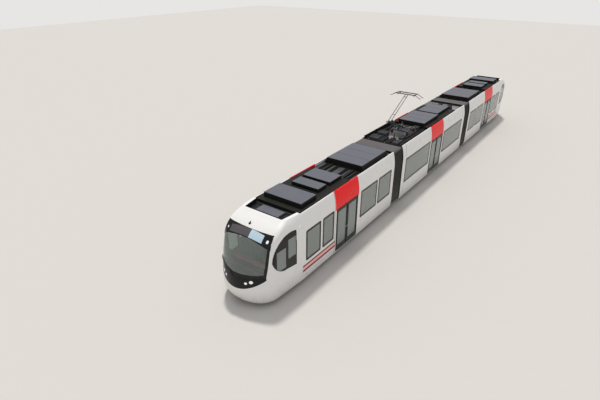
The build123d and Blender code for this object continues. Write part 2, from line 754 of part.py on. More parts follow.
def end_roof():
    black = block(*END_BASE, -BASE_HALF, BASE_HALF, DECK_TOP, BASE_TOP)
    for row in END_BOXES:
        black += housing(*row)
    big = housing(*BIG_BOX, BASE_HALF, DECK_TOP)
    lids = [lid(*row) for row in END_BOXES + [BIG_BOX]]
    x0, x1, half, top = SLAB
    lids.append(block(x0, x1, -half, half, DECK_TOP, top))
    return [black, big], lids


def middle_roof():
    black = block(*MIDDLE_BASE, -MIDDLE_BASE_HALF, MIDDLE_BASE_HALF, DECK_TOP, BASE_TOP)
    for row in MIDDLE_BOXES:
        black += housing(*row)
    x0, x1, half, top = BAR_BOX
    bar = block(x0, x1, -half, half, DECK_TOP, top)
    fence = block(*FENCE, -DECK_HALF, -DECK_HALF + FENCE_THICK, DECK_TOP, FENCE_TOP)
    return [black, bar, fence], [lid(*row) for row in MIDDLE_BOXES]


# Interior


def seat(x, z, facing):
    """One double seat on the left side, its front edge towards facing, split between two people."""
    points = [(x + facing * forward, SEAT_INNER, z + up) for forward, up in SEAT_OUTLINE]
    face = make_face(Polyline(*points, close=True))
    face = fillet(face.vertices(), SEAT_ROUNDING)
    bench = extrude(face, amount=SEAT_OUTER - SEAT_INNER, dir=(0, 1, 0))
    middle = (SEAT_INNER + SEAT_OUTER) / 2
    split = block(
        x - SEAT_DEPTH, x + SEAT_DEPTH, middle - SEAT_SPLIT / 2, middle + SEAT_SPLIT / 2,
        z + SEAT_PAN / 2, z + 2 * SEAT_DEPTH,
    )
    return bench - split


def pedestal_seat(x, floor, facing):
    """A double seat on a pedestal that stands on the floor."""
    z = floor + SEAT_HEIGHT - SEAT_PAN
    centre = x + facing * SEAT_DEPTH / 2
    inner, outer = SEAT_INNER + PEDESTAL_HALF, SEAT_OUTER - PEDESTAL_HALF
    return seat(x, z, facing) + block(centre - PEDESTAL_HALF, centre + PEDESTAL_HALF, inner, outer, floor, z)


def draught_screen(x):
    """The board beside a door on the left side, with its free upper corner rounded."""
    plane = Plane(origin=(x - DRAUGHT_THICK / 2, 0, 0), x_dir=(0, 1, 0), z_dir=(1, 0, 0))
    corners = [
        (DRAUGHT_INNER, FLOOR_LOW), (INNER_HALF, FLOOR_LOW), (INNER_HALF, DRAUGHT_TOP), (DRAUGHT_INNER, DRAUGHT_TOP),
    ]
    face = plane * make_face(Polyline(*corners, close=True))
    corner = face.vertices().sort_by(Axis.Z)[-2:].sort_by(Axis.Y)[0]
    return extrude(fillet(corner, DRAUGHT_ROUNDING), amount=DRAUGHT_THICK, dir=(1, 0, 0))


def draught_screens(door_x):
    return [draught_screen(door_x - DRAUGHT_OFFSET), draught_screen(door_x + DRAUGHT_OFFSET)]


def bulkhead():
    """The wall behind the driver, with its doorway and a window on each side."""
    x0, x1 = CAB_JOINT + BULKHEAD[0], CAB_JOINT + BULKHEAD[1]
    door_half, door_top = BULKHEAD_DOOR
    y0, y1, z0, z1 = BULKHEAD_WINDOW
    half = along_x(inner_half(), x0, x1)
    half -= block(x0 - 1, x1 + 1, -1, door_half, 0, door_top)
    half -= block(x0 - 1, x1 + 1, y0, y1, z0, z1)
    half -= block(x0 - 1, x1 + 1, -1, INNER_HALF + 1, 0, FLOOR_HIGH)
    half -= block(x0 - 1, x1 + 1, WELL_INNER - WELL_WALL, INNER_HALF + 1, 0, BOX_TOP)
    return both_sides(half)


def driver_seat():
    outline = [(CAB_JOINT + x, FLOOR_HIGH + z) for x, z in DRIVER_OUTLINE]
    post_x, post_radius = DRIVER_POST
    post = rod_z(CAB_JOINT + post_x, 0, post_radius, FLOOR_HIGH, FLOOR_HIGH + outline_height(DRIVER_OUTLINE))
    return outline_y(outline, -DRIVER_HALF, DRIVER_HALF) + post


def outline_height(outline):
    """The height just above the lowest point of an outline."""
    return min(z for _, z in outline) + 20


def end_interior():
    pieces = [seat(x, BOX_TOP, facing) for x, facing in END_BOX_SEATS]
    pieces += [pedestal_seat(x, FLOOR_HIGH, facing) for x, facing in END_FLOOR_SEATS]
    pieces += draught_screens(END_DOOR_X)
    desk = outline_y([(CAB_JOINT + x, z) for x, z in DESK_OUTLINE], -DESK_HALF, DESK_HALF)
    return mirrored(pieces) + [driver_seat(), desk]


def middle_interior():
    pieces = []
    for side in (-1, 1):
        pieces += [seat(side * x, BOX_TOP, side * facing) for x, facing in MIDDLE_BOX_SEATS]
    return mirrored(pieces + draught_screens(0))


# Gangway bellows


def bellows():
    """A folded hood over the front gangway, open at the bottom for the articulation arm."""
    deep = outer_half(BELLOWS_INSET, BELLOWS_BOTTOM)
    shallow = outer_half(BELLOWS_INSET + BELLOWS_DEPTH, BELLOWS_BOTTOM)
    step = GANGWAY / (2 * FOLDS)
    rings = []
    for index in range(2 * FOLDS):
        x = MIDDLE_HALF + index * step
        rings.append(along_x(shallow if index % 2 else deep, x, x + step))
    hood = rings[0]
    for ring in rings[1:]:
        hood += ring
    hood -= block(MIDDLE_HALF - 1, END_START + 1, -1, BELLOWS_INNER_HALF, 0, BELLOWS_INNER_TOP)
    return both_sides(hood)


# Bogies


def wheelset(x):
    """An axle with two flanged wheels and brake discs, turned about Y."""
    back = BACK_TO_BACK / 2
    rim = back + RIM_WIDTH
    tread = WHEEL_RADIUS
    flange = AXLE_Z
    end = BOX_OUTER - CAP_THICK - RUNNING
    # columns: radius, distance from the middle of the axle
    profile = [
        (0, 0), (AXLE_RADIUS, 0), (AXLE_RADIUS, back - 35), (HUB_RADIUS, back - 20), (HUB_RADIUS, back + 40),
        (RIM_INNER, back + 40), (RIM_INNER, back), (flange - 8, back), (flange, back + 8),
        (flange, back + 18), (tread + 2, back + 33), (tread - 1, rim - 8), (tread - 8, rim),
        (RIM_INNER, rim), (RIM_INNER, back + 70), (HUB_RADIUS, back + 70), (HUB_RADIUS, back + 132),
        (DISC_RADIUS, back + 132), (DISC_RADIUS, back + 160), (HUB_RADIUS, back + 160),
        (JOURNAL_RADIUS, back + 172), (JOURNAL_RADIUS, end), (0, end),
    ]
    face = make_face(Polyline(*[(radius, y, 0) for radius, y in profile], close=True))
    return Pos(x, 0, AXLE_Z) * both_sides(revolve(face, axis=Axis.Y))


def folded_spring():
    """A column of folded rubber between the bogie's side beam and the wheel box."""
    column = rod_z(0, SPRING_Y, SPRING_RADIUS, SPRING_BOTTOM, WELL_TOP - RUNNING)
    for z in GROOVES:
        ring = rod_z(0, SPRING_Y, SPRING_RADIUS + 1, z, z + GROOVE_HEIGHT)
        column -= ring - rod_z(0, SPRING_Y, SPRING_RADIUS - GROOVE_DEPTH, z, z + GROOVE_HEIGHT)
    return column


def bogie_quarter():
    """The front left quarter of a bogie: beam, axle box, cross tube, motor and rail brake."""
    axle_x = WHEELBASE / 2
    beam = BEAM_MIDDLE + [(axle_x + x, z) for x, z in BEAM_END] + [BEAM_SHOULDER]
    quarter = outline_y(beam, BEAM_INNER, BEAM_OUTER)
    quarter += rod_y(axle_x, AXLE_Z, BOX_RADIUS, BOX_INNER, BOX_OUTER)
    quarter -= rod_y(axle_x, AXLE_Z, JOURNAL_RADIUS + RUNNING, BOX_INNER - 1, BOX_OUTER - CAP_THICK)
    quarter += rod_y(CROSS_X, CROSS_Z, CROSS_RADIUS, 0, BEAM_INNER + 10)
    quarter += rod_x(MOTOR_Y, CROSS_Z, MOTOR_RADIUS, 0, CROSS_X)
    y, half, z0, z1 = RAIL_BRAKE
    quarter += block(0, RAIL_BRAKE_HALF, y - half, y + half, z0, z1)
    y, half, z0, z1 = BRAKE_HANGER
    return quarter + block(CROSS_X - half, CROSS_X + half, y - half, y + half, z0, z1)


def bogie_frame(x):
    """Outside frame with axle boxes, cross tubes, bolster, springs, motors and rail brakes."""
    frame = bogie_quarter()
    frame = both_sides(frame + mirror(frame, about=Plane.YZ) + folded_spring())
    frame += block(-CROSS_X, CROSS_X, -BOLSTER_HALF, BOLSTER_HALF, BOLSTER_BOTTOM, BOLSTER_TOP)
    frame -= rod_z(0, 0, PIVOT_RADIUS + RUNNING, 0, BOLSTER_TOP + 1)
    return Pos(x, 0, 0) * frame


# Current collector


def insulator(x, y):
    post = rod_z(x, y, POST_RADIUS, DECK_TOP, FRAME_Z[1])
    for rise in SHEDS:
        z = DECK_TOP + rise
        post += rod_z(x, y, SHED_RADIUS, z, z + SHED_HEIGHT)
    return post


def collector_base():
    """Four insulators, a frame of bars, the shaft's bearings and the guide rod's bracket."""
    across, along = BASE_POSTS
    z0, z1 = FRAME_Z
    half = insulator(COLLECTOR_X - across, along) + insulator(COLLECTOR_X + across, along)
    end = across + 2 * FRAME_BAR
    half += block(COLLECTOR_X - end, COLLECTOR_X + end, along - FRAME_BAR, along + FRAME_BAR, z0, z1)
    half += block(
        COLLECTOR_X - 1.5 * FRAME_BAR, COLLECTOR_X + 1.5 * FRAME_BAR, along - 20, along + 20,
        z1 - 10, SHAFT_Z + 50,
    )
    for x in (COLLECTOR_X - across, COLLECTOR_X + across):
        half += block(x - FRAME_BAR, x + FRAME_BAR, -1, along, z0, z1)
    frame = both_sides(half) - rod_y(COLLECTOR_X, SHAFT_Z, SHAFT_RADIUS + RUNNING, -500, 500)
    foot_x, foot_z = GUIDE_FOOT
    cheek = GUIDE_Y - GUIDE_RADIUS - 6
    frame += block(
        foot_x - 30, COLLECTOR_X + across - FRAME_BAR + 1, cheek - 16, cheek, z0, foot_z + 30
    )
    return frame + rod_y(foot_x, foot_z, GUIDE_PIN, cheek - 1, GUIDE_Y + GUIDE_RADIUS)


def lower_arm():
    """The lower arm on its shaft, with the knee's cross tube and pin."""
    arm = tube((COLLECTOR_X, 0, SHAFT_Z), (KNEE[0], 0, KNEE[1]), LOWER_RADIUS)
    arm += rod_y(*KNEE, 50, -UPPER_SPREAD + 20, UPPER_SPREAD - 20)
    arm += rod_y(COLLECTOR_X, SHAFT_Z, SHAFT_RADIUS, -SHAFT_HALF, SHAFT_HALF)
    arm += rod_y(COLLECTOR_X, SHAFT_Z, 2 * SHAFT_RADIUS, -UPPER_SPREAD, UPPER_SPREAD)
    return arm + rod_y(*KNEE, KNEE_PIN, -UPPER_SPREAD - 16, UPPER_SPREAD + 25)


def guide_rod():
    """The rod beside the lower arm, with an eye at each end, that turns the upper arm."""
    foot = (GUIDE_FOOT[0], GUIDE_Y, GUIDE_FOOT[1])
    tail = (GUIDE_TAIL[0], GUIDE_Y, GUIDE_TAIL[1])
    rod = tube(foot, tail, GUIDE_RADIUS)
    bore = GUIDE_PIN + GUIDE_PLAY
    for x, z in (GUIDE_FOOT, GUIDE_TAIL):
        rod += rod_y(x, z, bore + 14, GUIDE_Y - GUIDE_RADIUS, GUIDE_Y + GUIDE_RADIUS)
    rod -= rod_y(*GUIDE_FOOT, GUIDE_PIN + RUNNING, GUIDE_Y - 20, GUIDE_Y + 20)
    return rod - rod_y(*GUIDE_TAIL, bore, GUIDE_Y - 20, GUIDE_Y + 20)


def upper_arm():
    """Two close tubes from the knee to the head, joined by crossbars, with the guide rod's lug."""
    arm = None
    for side in (-1, 1):
        y = side * UPPER_SPREAD
        bar = tube((KNEE[0], y, KNEE[1]), (COLLECTOR_X, y, HEAD_PIVOT_Z), UPPER_RADIUS)
        bar += rod_y(*KNEE, 34, y - EYE_HALF, y + EYE_HALF)
        if side < 0:
            bar += tube((KNEE[0], y, KNEE[1]), (GUIDE_TAIL[0], y, GUIDE_TAIL[1]), EYE_HALF)
            bar += rod_y(*GUIDE_TAIL, GUIDE_PIN, GUIDE_Y - GUIDE_RADIUS, y + EYE_HALF)
        bar -= rod_y(*KNEE, KNEE_PIN + RUNNING, y - 30, y + 30)
        arm = bar if arm is None else arm + bar
    for share in (0.25, 0.9):
        x = KNEE[0] + share * (COLLECTOR_X - KNEE[0])
        z = KNEE[1] + share * (HEAD_PIVOT_Z - KNEE[1])
        arm += rod_y(x, z, 12, -UPPER_SPREAD, UPPER_SPREAD)
    return arm + rod_y(COLLECTOR_X, HEAD_PIVOT_Z, HEAD_PIN, -HEAD_HALF + 60, HEAD_HALF - 60)


def collector_head():
    """Two contact strips on cradles, with horns bent down at both ends."""
    low, top = HEAD_PIVOT_Z + STRIP[0], HEAD_PIVOT_Z + STRIP[1]
    half = None
    for x in (COLLECTOR_X - STRIP_SPACING / 2, COLLECTOR_X + STRIP_SPACING / 2):
        strip = block(x - STRIP_HALF, x + STRIP_HALF, -1, HEAD_HALF, low, top)
        root, tip = (x, HEAD_HALF - 8, low + 15), (x, HORN_HALF, low + 15 - HORN_DROP)
        strip += tube(root, tip, HORN_RADIUS)
        half = strip if half is None else half + strip
    y = HEAD_HALF - 90
    reach = STRIP_SPACING / 2
    half += block(COLLECTOR_X - reach, COLLECTOR_X + reach, y - 12, y + 12, HEAD_PIVOT_Z - 20, low + 5)
    half += rod_y(COLLECTOR_X, HEAD_PIVOT_Z, 34, y - 12, y + 12)
    return both_sides(half) - rod_y(COLLECTOR_X, HEAD_PIVOT_Z, HEAD_PIN + RUNNING, -HORN_HALF, HORN_HALF)


# Assembly


def solids_of(pieces):
    return [solid for piece in pieces for solid in piece.solids()]


def end_section():
    """All rigid nodes of the front section, by their short names."""
    cab = nose_parts()
    walls = [(END_START, END_START + END_WALL)]
    leaves, door_panes = door_leaves(END_DOOR_X)
    panes = windows(END_BAYS, BODY_HALF - PANE, BODY_HALF)
    housings, lids = end_roof()
    return {
        "shell": [body_shell(END_START, CAB_JOINT, END_BAYS, END_DOOR_X, walls)],
        "floor": [end_floor()],
        "wheel_boxes": end_wheel_boxes(),
        "nose": [cab["nose"]],
        "windscreen": [cab["windscreen"]],
        "mask": [cab["mask"]],
        "lamps": cab["lamps"],
        "glass": mirrored(panes + door_panes) + [cab["side"]],
        "doors": mirrored(leaves),
        "roof_housings": housings,
        "roof_lids": lids,
        "interior": end_interior(),
        "bulkhead": [bulkhead()],
    }


def middle_section():
    """All rigid nodes of the middle section, by their short names."""
    walls = [(-MIDDLE_HALF, -MIDDLE_HALF + END_WALL), (MIDDLE_HALF - END_WALL, MIDDLE_HALF)]
    leaves, door_panes = door_leaves(0)
    panes = windows(MIDDLE_BAYS, BODY_HALF - PANE, BODY_HALF)
    housings, lids = middle_roof()
    return {
        "shell": [body_shell(-MIDDLE_HALF, MIDDLE_HALF, MIDDLE_BAYS, 0, walls)],
        "floor": [middle_floor()],
        "wheel_boxes": middle_wheel_boxes(),
        "glass": mirrored(panes + door_panes),
        "doors": mirrored(leaves),
        "roof_housings": housings,
        "roof_lids": lids,
        "interior": middle_interior(),
    }


def build():
    """Every node's pieces, by the node's name."""
    nodes = {}
    turn = Rot(0, 0, 180)
    for name, pieces in end_section().items():
        nodes["front_" + name] = pieces
        nodes["rear_" + name] = [turn * piece for piece in pieces]
    for name, pieces in middle_section().items():
        nodes["middle_" + name] = pieces
    hood = bellows()
    nodes["front_bellows"] = [hood]
    nodes["rear_bellows"] = [turn * hood]
    for number, x in enumerate((END_BOGIE_X, MIDDLE_BOGIE_X, -MIDDLE_BOGIE_X, -END_BOGIE_X), 1):
        nodes[f"bogie_{number}_frame"] = [bogie_frame(x)]
        nodes[f"bogie_{number}_wheelset_front"] = [wheelset(x + WHEELBASE / 2)]
        nodes[f"bogie_{number}_wheelset_rear"] = [wheelset(x - WHEELBASE / 2)]
    nodes["collector_base"] = [collector_base()]
    nodes["collector_lower_arm"] = [lower_arm()]
    nodes["collector_guide_rod"] = [guide_rod()]
    nodes["collector_upper_arm"] = [upper_arm()]
    nodes["collector_head"] = [collector_head()]
    return nodes


def write(nodes):
    """Writes one STEP file for each node."""
    os.makedirs("parts", exist_ok=True)
    for name, pieces in nodes.items():
        solids = [solid for piece in pieces for solid in piece.solids()]
        shape = solids[0] if len(solids) == 1 else Compound(children=solids)
        export_step(shape, f"parts/{name}.step")


write(build())
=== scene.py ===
# %% [markdown]
# # A three-section tram, dressed on its imported frame
# The imported model brings the bodies, windows, bogies and collector in metres, with +X towards the
# front cab, +Y to the left side and +Z up. This lesson adds what a solid modeller leaves out: paint
# with its red patches and bands, glass with black borders, rubber, folds, seams, lamps and roof gear.

# %% Load the frame
import bpy
import bmesh
import math
from mathutils import Matrix, Vector
from mathutils.bvhtree import BVHTree


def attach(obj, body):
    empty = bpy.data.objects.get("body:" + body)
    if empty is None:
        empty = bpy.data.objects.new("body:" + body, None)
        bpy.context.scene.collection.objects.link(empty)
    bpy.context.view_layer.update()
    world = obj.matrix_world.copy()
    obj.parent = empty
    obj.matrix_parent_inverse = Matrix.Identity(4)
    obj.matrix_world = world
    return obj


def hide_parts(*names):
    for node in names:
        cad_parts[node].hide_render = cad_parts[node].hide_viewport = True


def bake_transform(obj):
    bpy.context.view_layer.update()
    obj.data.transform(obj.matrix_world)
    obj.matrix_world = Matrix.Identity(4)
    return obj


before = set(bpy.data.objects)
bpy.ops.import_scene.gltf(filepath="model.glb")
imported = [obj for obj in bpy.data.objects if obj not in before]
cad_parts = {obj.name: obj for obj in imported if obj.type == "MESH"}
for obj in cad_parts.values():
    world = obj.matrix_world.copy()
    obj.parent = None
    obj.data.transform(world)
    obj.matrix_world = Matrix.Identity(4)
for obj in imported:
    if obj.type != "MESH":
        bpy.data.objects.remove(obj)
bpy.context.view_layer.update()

# %% [markdown]
# ## The tram's own measures
# Every piece is placed by the same few lengths as the frame, so that a frame pillar, a door and its
# rubber seal meet without any fitting by eye.

# %% Measures in metres
HALF_WIDTH = 1.2
MIDDLE_END = 4.45
END_START = 5.40
CAB_JOINT = 12.70
DECK = 2.88
WINDOW = (1.01, 2.27)
END_WINDOWS = [(5.70, 6.93), (7.08, 8.52), (10.64, 11.40), (11.56, 12.48)]
MIDDLE_WINDOWS = [(-4.02, -1.00), (1.00, 4.10)]
END_DOOR = 9.615
DOOR_HALF = 0.80
DOOR = (0.33, 2.20)
DOOR_GLASS = (0.52, 2.09)
BOGIES = [(1, 11.75), (2, 2.75), (3, -2.75), (4, -11.75)]
AXLE_HEIGHT = 0.326
WHEEL_OFFSET = 0.90
SHAFT = Vector((2.05, 0.0, 3.12))
KNEE = Vector((3.85, 0.0, 3.88))
HEAD = Vector((2.05, 0.0, 4.85))
GANGWAY = END_START - MIDDLE_END
print("width", 2 * HALF_WIDTH, "m, cab joints at", CAB_JOINT, "m, gangways of", round(GANGWAY, 3), "m")

# %% [markdown]
# ## Finding the way from colours to sockets
# A material is a tree of nodes. These helpers place a node, feed each input with a number or with
# another node's output, and give back the output, so that a finish reads like a short sum.

# %% Node helpers
def place(tree, kind, inputs=(), output=0, **settings):
    """Adds a node, fills its inputs by place or name, and gives back one output."""
    node = tree.nodes.new(kind)
    for key, value in settings.items():
        setattr(node, key, value)
    pairs = inputs.items() if isinstance(inputs, dict) else enumerate(inputs)
    for key, value in pairs:
        if isinstance(value, bpy.types.NodeSocket):
            tree.links.new(value, node.inputs[key])
        elif value is not None:
            node.inputs[key].default_value = value
    return node.outputs[output]


def sum_of(tree, operation, *values, clamp=False):
    return place(tree, "ShaderNodeMath", values, operation=operation, use_clamp=clamp)


def vector_of(tree, operation, *values, output=0):
    return place(tree, "ShaderNodeVectorMath", values, output, operation=operation)


def scaled(tree, vector, factor):
    return place(tree, "ShaderNodeVectorMath", {0: vector, 3: factor}, operation="SCALE")


def parts_of(tree, vector):
    """The X, Y and Z outputs of a vector."""
    return place(tree, "ShaderNodeSeparateXYZ", [vector]).node.outputs


def ramp_between(tree, value, low, high):
    """A soft step from 0 at low to 1 at high."""
    return place(tree, "ShaderNodeMapRange", [value, low, high], interpolation_type="SMOOTHSTEP")


def mix_colours(tree, share, first, second):
    return place(tree, "ShaderNodeMix", {0: share, 6: first, 7: second}, 2, data_type="RGBA")


def new_group(name, inputs, outputs):
    """An empty node group with named sockets, and its two end nodes."""
    tree = bpy.data.node_groups.new(name, "ShaderNodeTree")
    for label, kind, value in inputs:
        socket = tree.interface.new_socket(label, in_out="INPUT", socket_type="NodeSocket" + kind)
        if value is not None:
            socket.default_value = value
    for label, kind in outputs:
        tree.interface.new_socket(label, in_out="OUTPUT", socket_type="NodeSocket" + kind)
    return tree, tree.nodes.new("NodeGroupInput").outputs, tree.nodes.new("NodeGroupOutput").inputs

# %% [markdown]
# ## Effects that several finishes share
# A box mask picks out a patch by its two corners. Dust gathers low down and runs in streaks. Fine
# grain gives paint its orange peel and metal its faint mottling. Each could be copied into every
# material, but as a group it is built once and placed with its own values.

# %% Shared shader groups
def build_box_mask():
    tree, given, result = new_group(
        "box_mask",
        [
            ("Position", "Vector", None), ("Low", "Vector", None), ("High", "Vector", None),
            ("Sharpness", "Float", 400.0),
        ],
        [("Mask", "Float")],
    )
    masks = []
    for first, second in ((given["Position"], given["Low"]), (given["High"], given["Position"])):
        steep = scaled(tree, vector_of(tree, "SUBTRACT", first, second), given["Sharpness"])
        raised = vector_of(tree, "ADD", steep, (0.5, 0.5, 0.5))
        low = vector_of(tree, "MAXIMUM", raised, (0, 0, 0))
        masks.append(vector_of(tree, "MINIMUM", low, (1, 1, 1)))
    x, y, z = parts_of(tree, vector_of(tree, "MULTIPLY", *masks))
    product = sum_of(tree, "MULTIPLY", sum_of(tree, "MULTIPLY", x, y), z)
    tree.links.new(product, result["Mask"])
    return tree


def build_low_dust():
    tree, given, result = new_group(
        "low_dust",
        [("Position", "Vector", None), ("Height", "Float", 1.2), ("Amount", "Float", 0.4)],
        [("Mask", "Float")],
    )
    stretched = vector_of(tree, "MULTIPLY", given["Position"], (7.0, 7.0, 0.9))
    streaks = place(tree, "ShaderNodeTexNoise", {"Vector": stretched, "Scale": 3.0, "Detail": 5.0})
    cloud = place(tree, "ShaderNodeTexNoise", {"Vector": given["Position"], "Scale": 1.7, "Detail": 3.0})
    low = sum_of(tree, "DIVIDE", parts_of(tree, given["Position"])[2], given["Height"])
    fade = ramp_between(tree, low, 1.0, 0.1)
    patchy = ramp_between(tree, cloud, 0.2, 0.7)
    uneven = sum_of(tree, "MULTIPLY", ramp_between(tree, streaks, 0.3, 0.75), patchy)
    thick = sum_of(tree, "MULTIPLY", fade, sum_of(tree, "MULTIPLY_ADD", uneven, 0.8, 0.35))
    tree.links.new(sum_of(tree, "MULTIPLY", thick, given["Amount"], clamp=True), result["Mask"])
    return tree


def build_fine_grain():
    tree, given, result = new_group(
        "fine_grain",
        [
            ("Position", "Vector", None), ("Scale", "Float", 200.0), ("Colour", "Color", (1, 1, 1, 1)),
            ("Mottle", "Float", 0.05),
        ],
        [("Colour", "Color"), ("Height", "Float"), ("Spread", "Float")],
    )
    fine = place(
        tree, "ShaderNodeTexNoise", {"Vector": given["Position"], "Scale": given["Scale"], "Detail": 2.0}
    )
    broad = place(tree, "ShaderNodeTexNoise", {"Vector": given["Position"], "Scale": 2.3, "Detail": 4.0})
    gain = sum_of(tree, "MULTIPLY_ADD", sum_of(tree, "SUBTRACT", broad, 0.5), given["Mottle"], 1.0)
    tree.links.new(scaled(tree, given["Colour"], gain), result["Colour"])
    tree.links.new(fine, result["Height"])
    tree.links.new(broad, result["Spread"])
    return tree


BOX_MASK = build_box_mask()
LOW_DUST = build_low_dust()
FINE_GRAIN = build_fine_grain()
print("shared groups", [group.name for group in (BOX_MASK, LOW_DUST, FINE_GRAIN)])


def use_group(tree, group, inputs):
    """Places a shared group in a tree and gives back its first output."""
    return place(tree, "ShaderNodeGroup", inputs, node_tree=group)


def box_at(tree, position, low, high):
    """1 inside the box between two corners."""
    return use_group(tree, BOX_MASK, {"Position": position, "Low": low, "High": high})


def joined(tree, masks):
    """One mask from several that lie apart."""
    whole = masks[0]
    for mask in masks[1:]:
        whole = sum_of(tree, "ADD", whole, mask, clamp=True)
    return whole

# %% [markdown]
# ## A finish with grain and dust
# Painted steel is smooth but never even: its gloss wanders, and dust dulls it low down. One colour
# and one gloss would look like plastic. This function makes the Principled shader, adds both, and
# leaves the colour open for masks.

# %% The general finish
DUST_COLOUR = (0.30, 0.27, 0.23, 1.0)
DUST_ROUGHNESS = 0.8
GRAIN_DEPTH = 0.001


def finish_for(
    name, colour, roughness, metallic=0.0, coat=0.0, gloss=0.5, scale=220.0, bump=0.1, mottle=0.1, dust=0.0,
    dust_height=1.0,
):
    """A finish in one colour with grain, uneven gloss and dust. Gives the material and its parts."""
    material = bpy.data.materials.new(name)
    material.use_nodes = True
    tree = material.node_tree
    shader = tree.nodes["Principled BSDF"]
    position = place(tree, "ShaderNodeTexCoord", output="Object")
    grain = use_group(tree, FINE_GRAIN, {
        "Position": position, "Scale": scale, "Colour": (*colour, 1.0), "Mottle": mottle,
    }).node.outputs
    tint = grain["Colour"]
    span = [grain["Spread"], 0.25, 0.75, roughness * 0.8, roughness * 1.2]
    spread = place(tree, "ShaderNodeMapRange", span)
    if dust:
        mask = use_group(tree, LOW_DUST, {"Position": position, "Height": dust_height, "Amount": dust})
        tint = mix_colours(tree, mask, tint, DUST_COLOUR)
        spread = place(tree, "ShaderNodeMix", {0: mask, 2: spread, 3: DUST_ROUGHNESS})
    relief = {"Strength": bump, "Distance": GRAIN_DEPTH, "Height": grain["Height"]}
    height = place(tree, "ShaderNodeBump", relief)
    tree.links.new(tint, shader.inputs["Base Color"])
    tree.links.new(spread, shader.inputs["Roughness"])
    tree.links.new(height, shader.inputs["Normal"])
    shader.inputs["Metallic"].default_value = metallic
    shader.inputs["Coat Weight"].default_value = coat
    shader.inputs["Specular IOR Level"].default_value = gloss
    return material, tree, shader, position, tint


def plain_finish(*values, **settings):
    return finish_for(*values, **settings)[0]

# %% [markdown]
# ## Body paint
# White lacquer carries a saturated red patch over each door and, under the windows next to the cab,
# two dark red bands with a paler field between them. Thin dark seams run up the sides. The flat deck
# of the roof is dark grey, and the recess in the cab roof is black. Beside the gangways the deck is
# painted a lighter grey: painted light over the shadow that the lids and trunks cast there. A picture
# could hold all this, but masks stay sharp at any size. Both ends are alike, so the masks read the
# distance from the middle, whatever its sign. Surfaces that face the cabin are pale grey, which their
# own direction tells.

# %% Body paint
RED_PATCHES = [(8.72, 10.52), (-0.89, 0.89)]
PATCH_LOW = 2.20
PATCH_RED = (0.92, 0.002, 0.003, 1.0)
BANDS = [(0.792, 0.862), (0.580, 0.662)]
BAND_SPAN = (10.50, 12.68)
BAND_RED = (0.17, 0.004, 0.008, 1.0)
FIELD_RED = (0.95, 0.45, 0.42, 1.0)
FIELD_SHARE = 0.9
SEAMS = [4.08, 10.55]
SEAM_DARK = (0.03, 0.03, 0.03, 1.0)
SEAM_SHARE = 0.85
DECK_EDGE = 1.045
DECK_GREY = (0.085, 0.088, 0.098, 1.0)
LANDING = (3.05, 5.80)
# Painted light: the deck beside the gangways gets a lighter grey that makes up for the shadow of the lids
# and trunks.
LANDING_PAINTED_LIGHT = (0.24, 0.235, 0.24, 1.0)
RECESS_FRONT = 13.424
RECESS_HALF = 0.936
RECESS_TAPER = -0.139
RECESS_BLACK = (0.012, 0.012, 0.014, 1.0)
CORE_END = 12.9
CORE_HEIGHT = 1.6
LINING_TOP = (2.86, 2.84)
LINING_GREY = (0.42, 0.42, 0.41, 1.0)


def band_mask(tree, flat, low, high):
    """1 between two heights on the stretch of side that carries the bands."""
    return box_at(tree, flat, (BAND_SPAN[0], 1.0, low), (BAND_SPAN[1], 1.3, high))


def seam_mask(tree, along, place_x):
    near = sum_of(tree, "ABSOLUTE", sum_of(tree, "SUBTRACT", along, place_x))
    return ramp_between(tree, near, 0.013, 0.009)


def deck_mask(tree, flat, x0, x1):
    """1 on the roof's flat deck between two places along the tram."""
    return box_at(tree, flat, (x0, -1.0, DECK - 0.02), (x1, DECK_EDGE, DECK + 0.02))


def recess_mask(tree, along, across, up):
    """1 on the floor and the walls of the recess in the cab roof, which narrows towards the front."""
    reach = sum_of(tree, "SUBTRACT", along, CAB_JOINT)
    edge = sum_of(tree, "MULTIPLY_ADD", reach, RECESS_TAPER, RECESS_HALF)
    between = ramp_between(tree, sum_of(tree, "SUBTRACT", edge, across), -0.001, 0.001)
    before = ramp_between(tree, along, RECESS_FRONT + 0.002, RECESS_FRONT - 0.002)
    behind = ramp_between(tree, along, CAB_JOINT - 0.002, CAB_JOINT)
    level = ramp_between(tree, up, DECK - 0.022, DECK - 0.018)
    ahead = sum_of(tree, "MULTIPLY", between, before)
    return sum_of(tree, "MULTIPLY", ahead, sum_of(tree, "MULTIPLY", behind, level))


def inside_mask(tree, position, along, up):
    """1 where a surface below the ceiling faces the middle line of the cabin."""
    x, y, z = parts_of(tree, position)
    beyond = sum_of(tree, "MAXIMUM", sum_of(tree, "SUBTRACT", along, CORE_END), 0.0)
    way = sum_of(tree, "MULTIPLY", beyond, sum_of(tree, "SIGN", x))
    arm = place(tree, "ShaderNodeCombineXYZ", [way, y, sum_of(tree, "SUBTRACT", z, CORE_HEIGHT)])
    normal = place(tree, "ShaderNodeTexCoord", output="Normal")
    facing = vector_of(tree, "DOT_PRODUCT", arm, normal, output="Value")
    inward = ramp_between(tree, facing, 0.01, -0.01)
    return sum_of(tree, "MULTIPLY", inward, ramp_between(tree, up, *LINING_TOP))


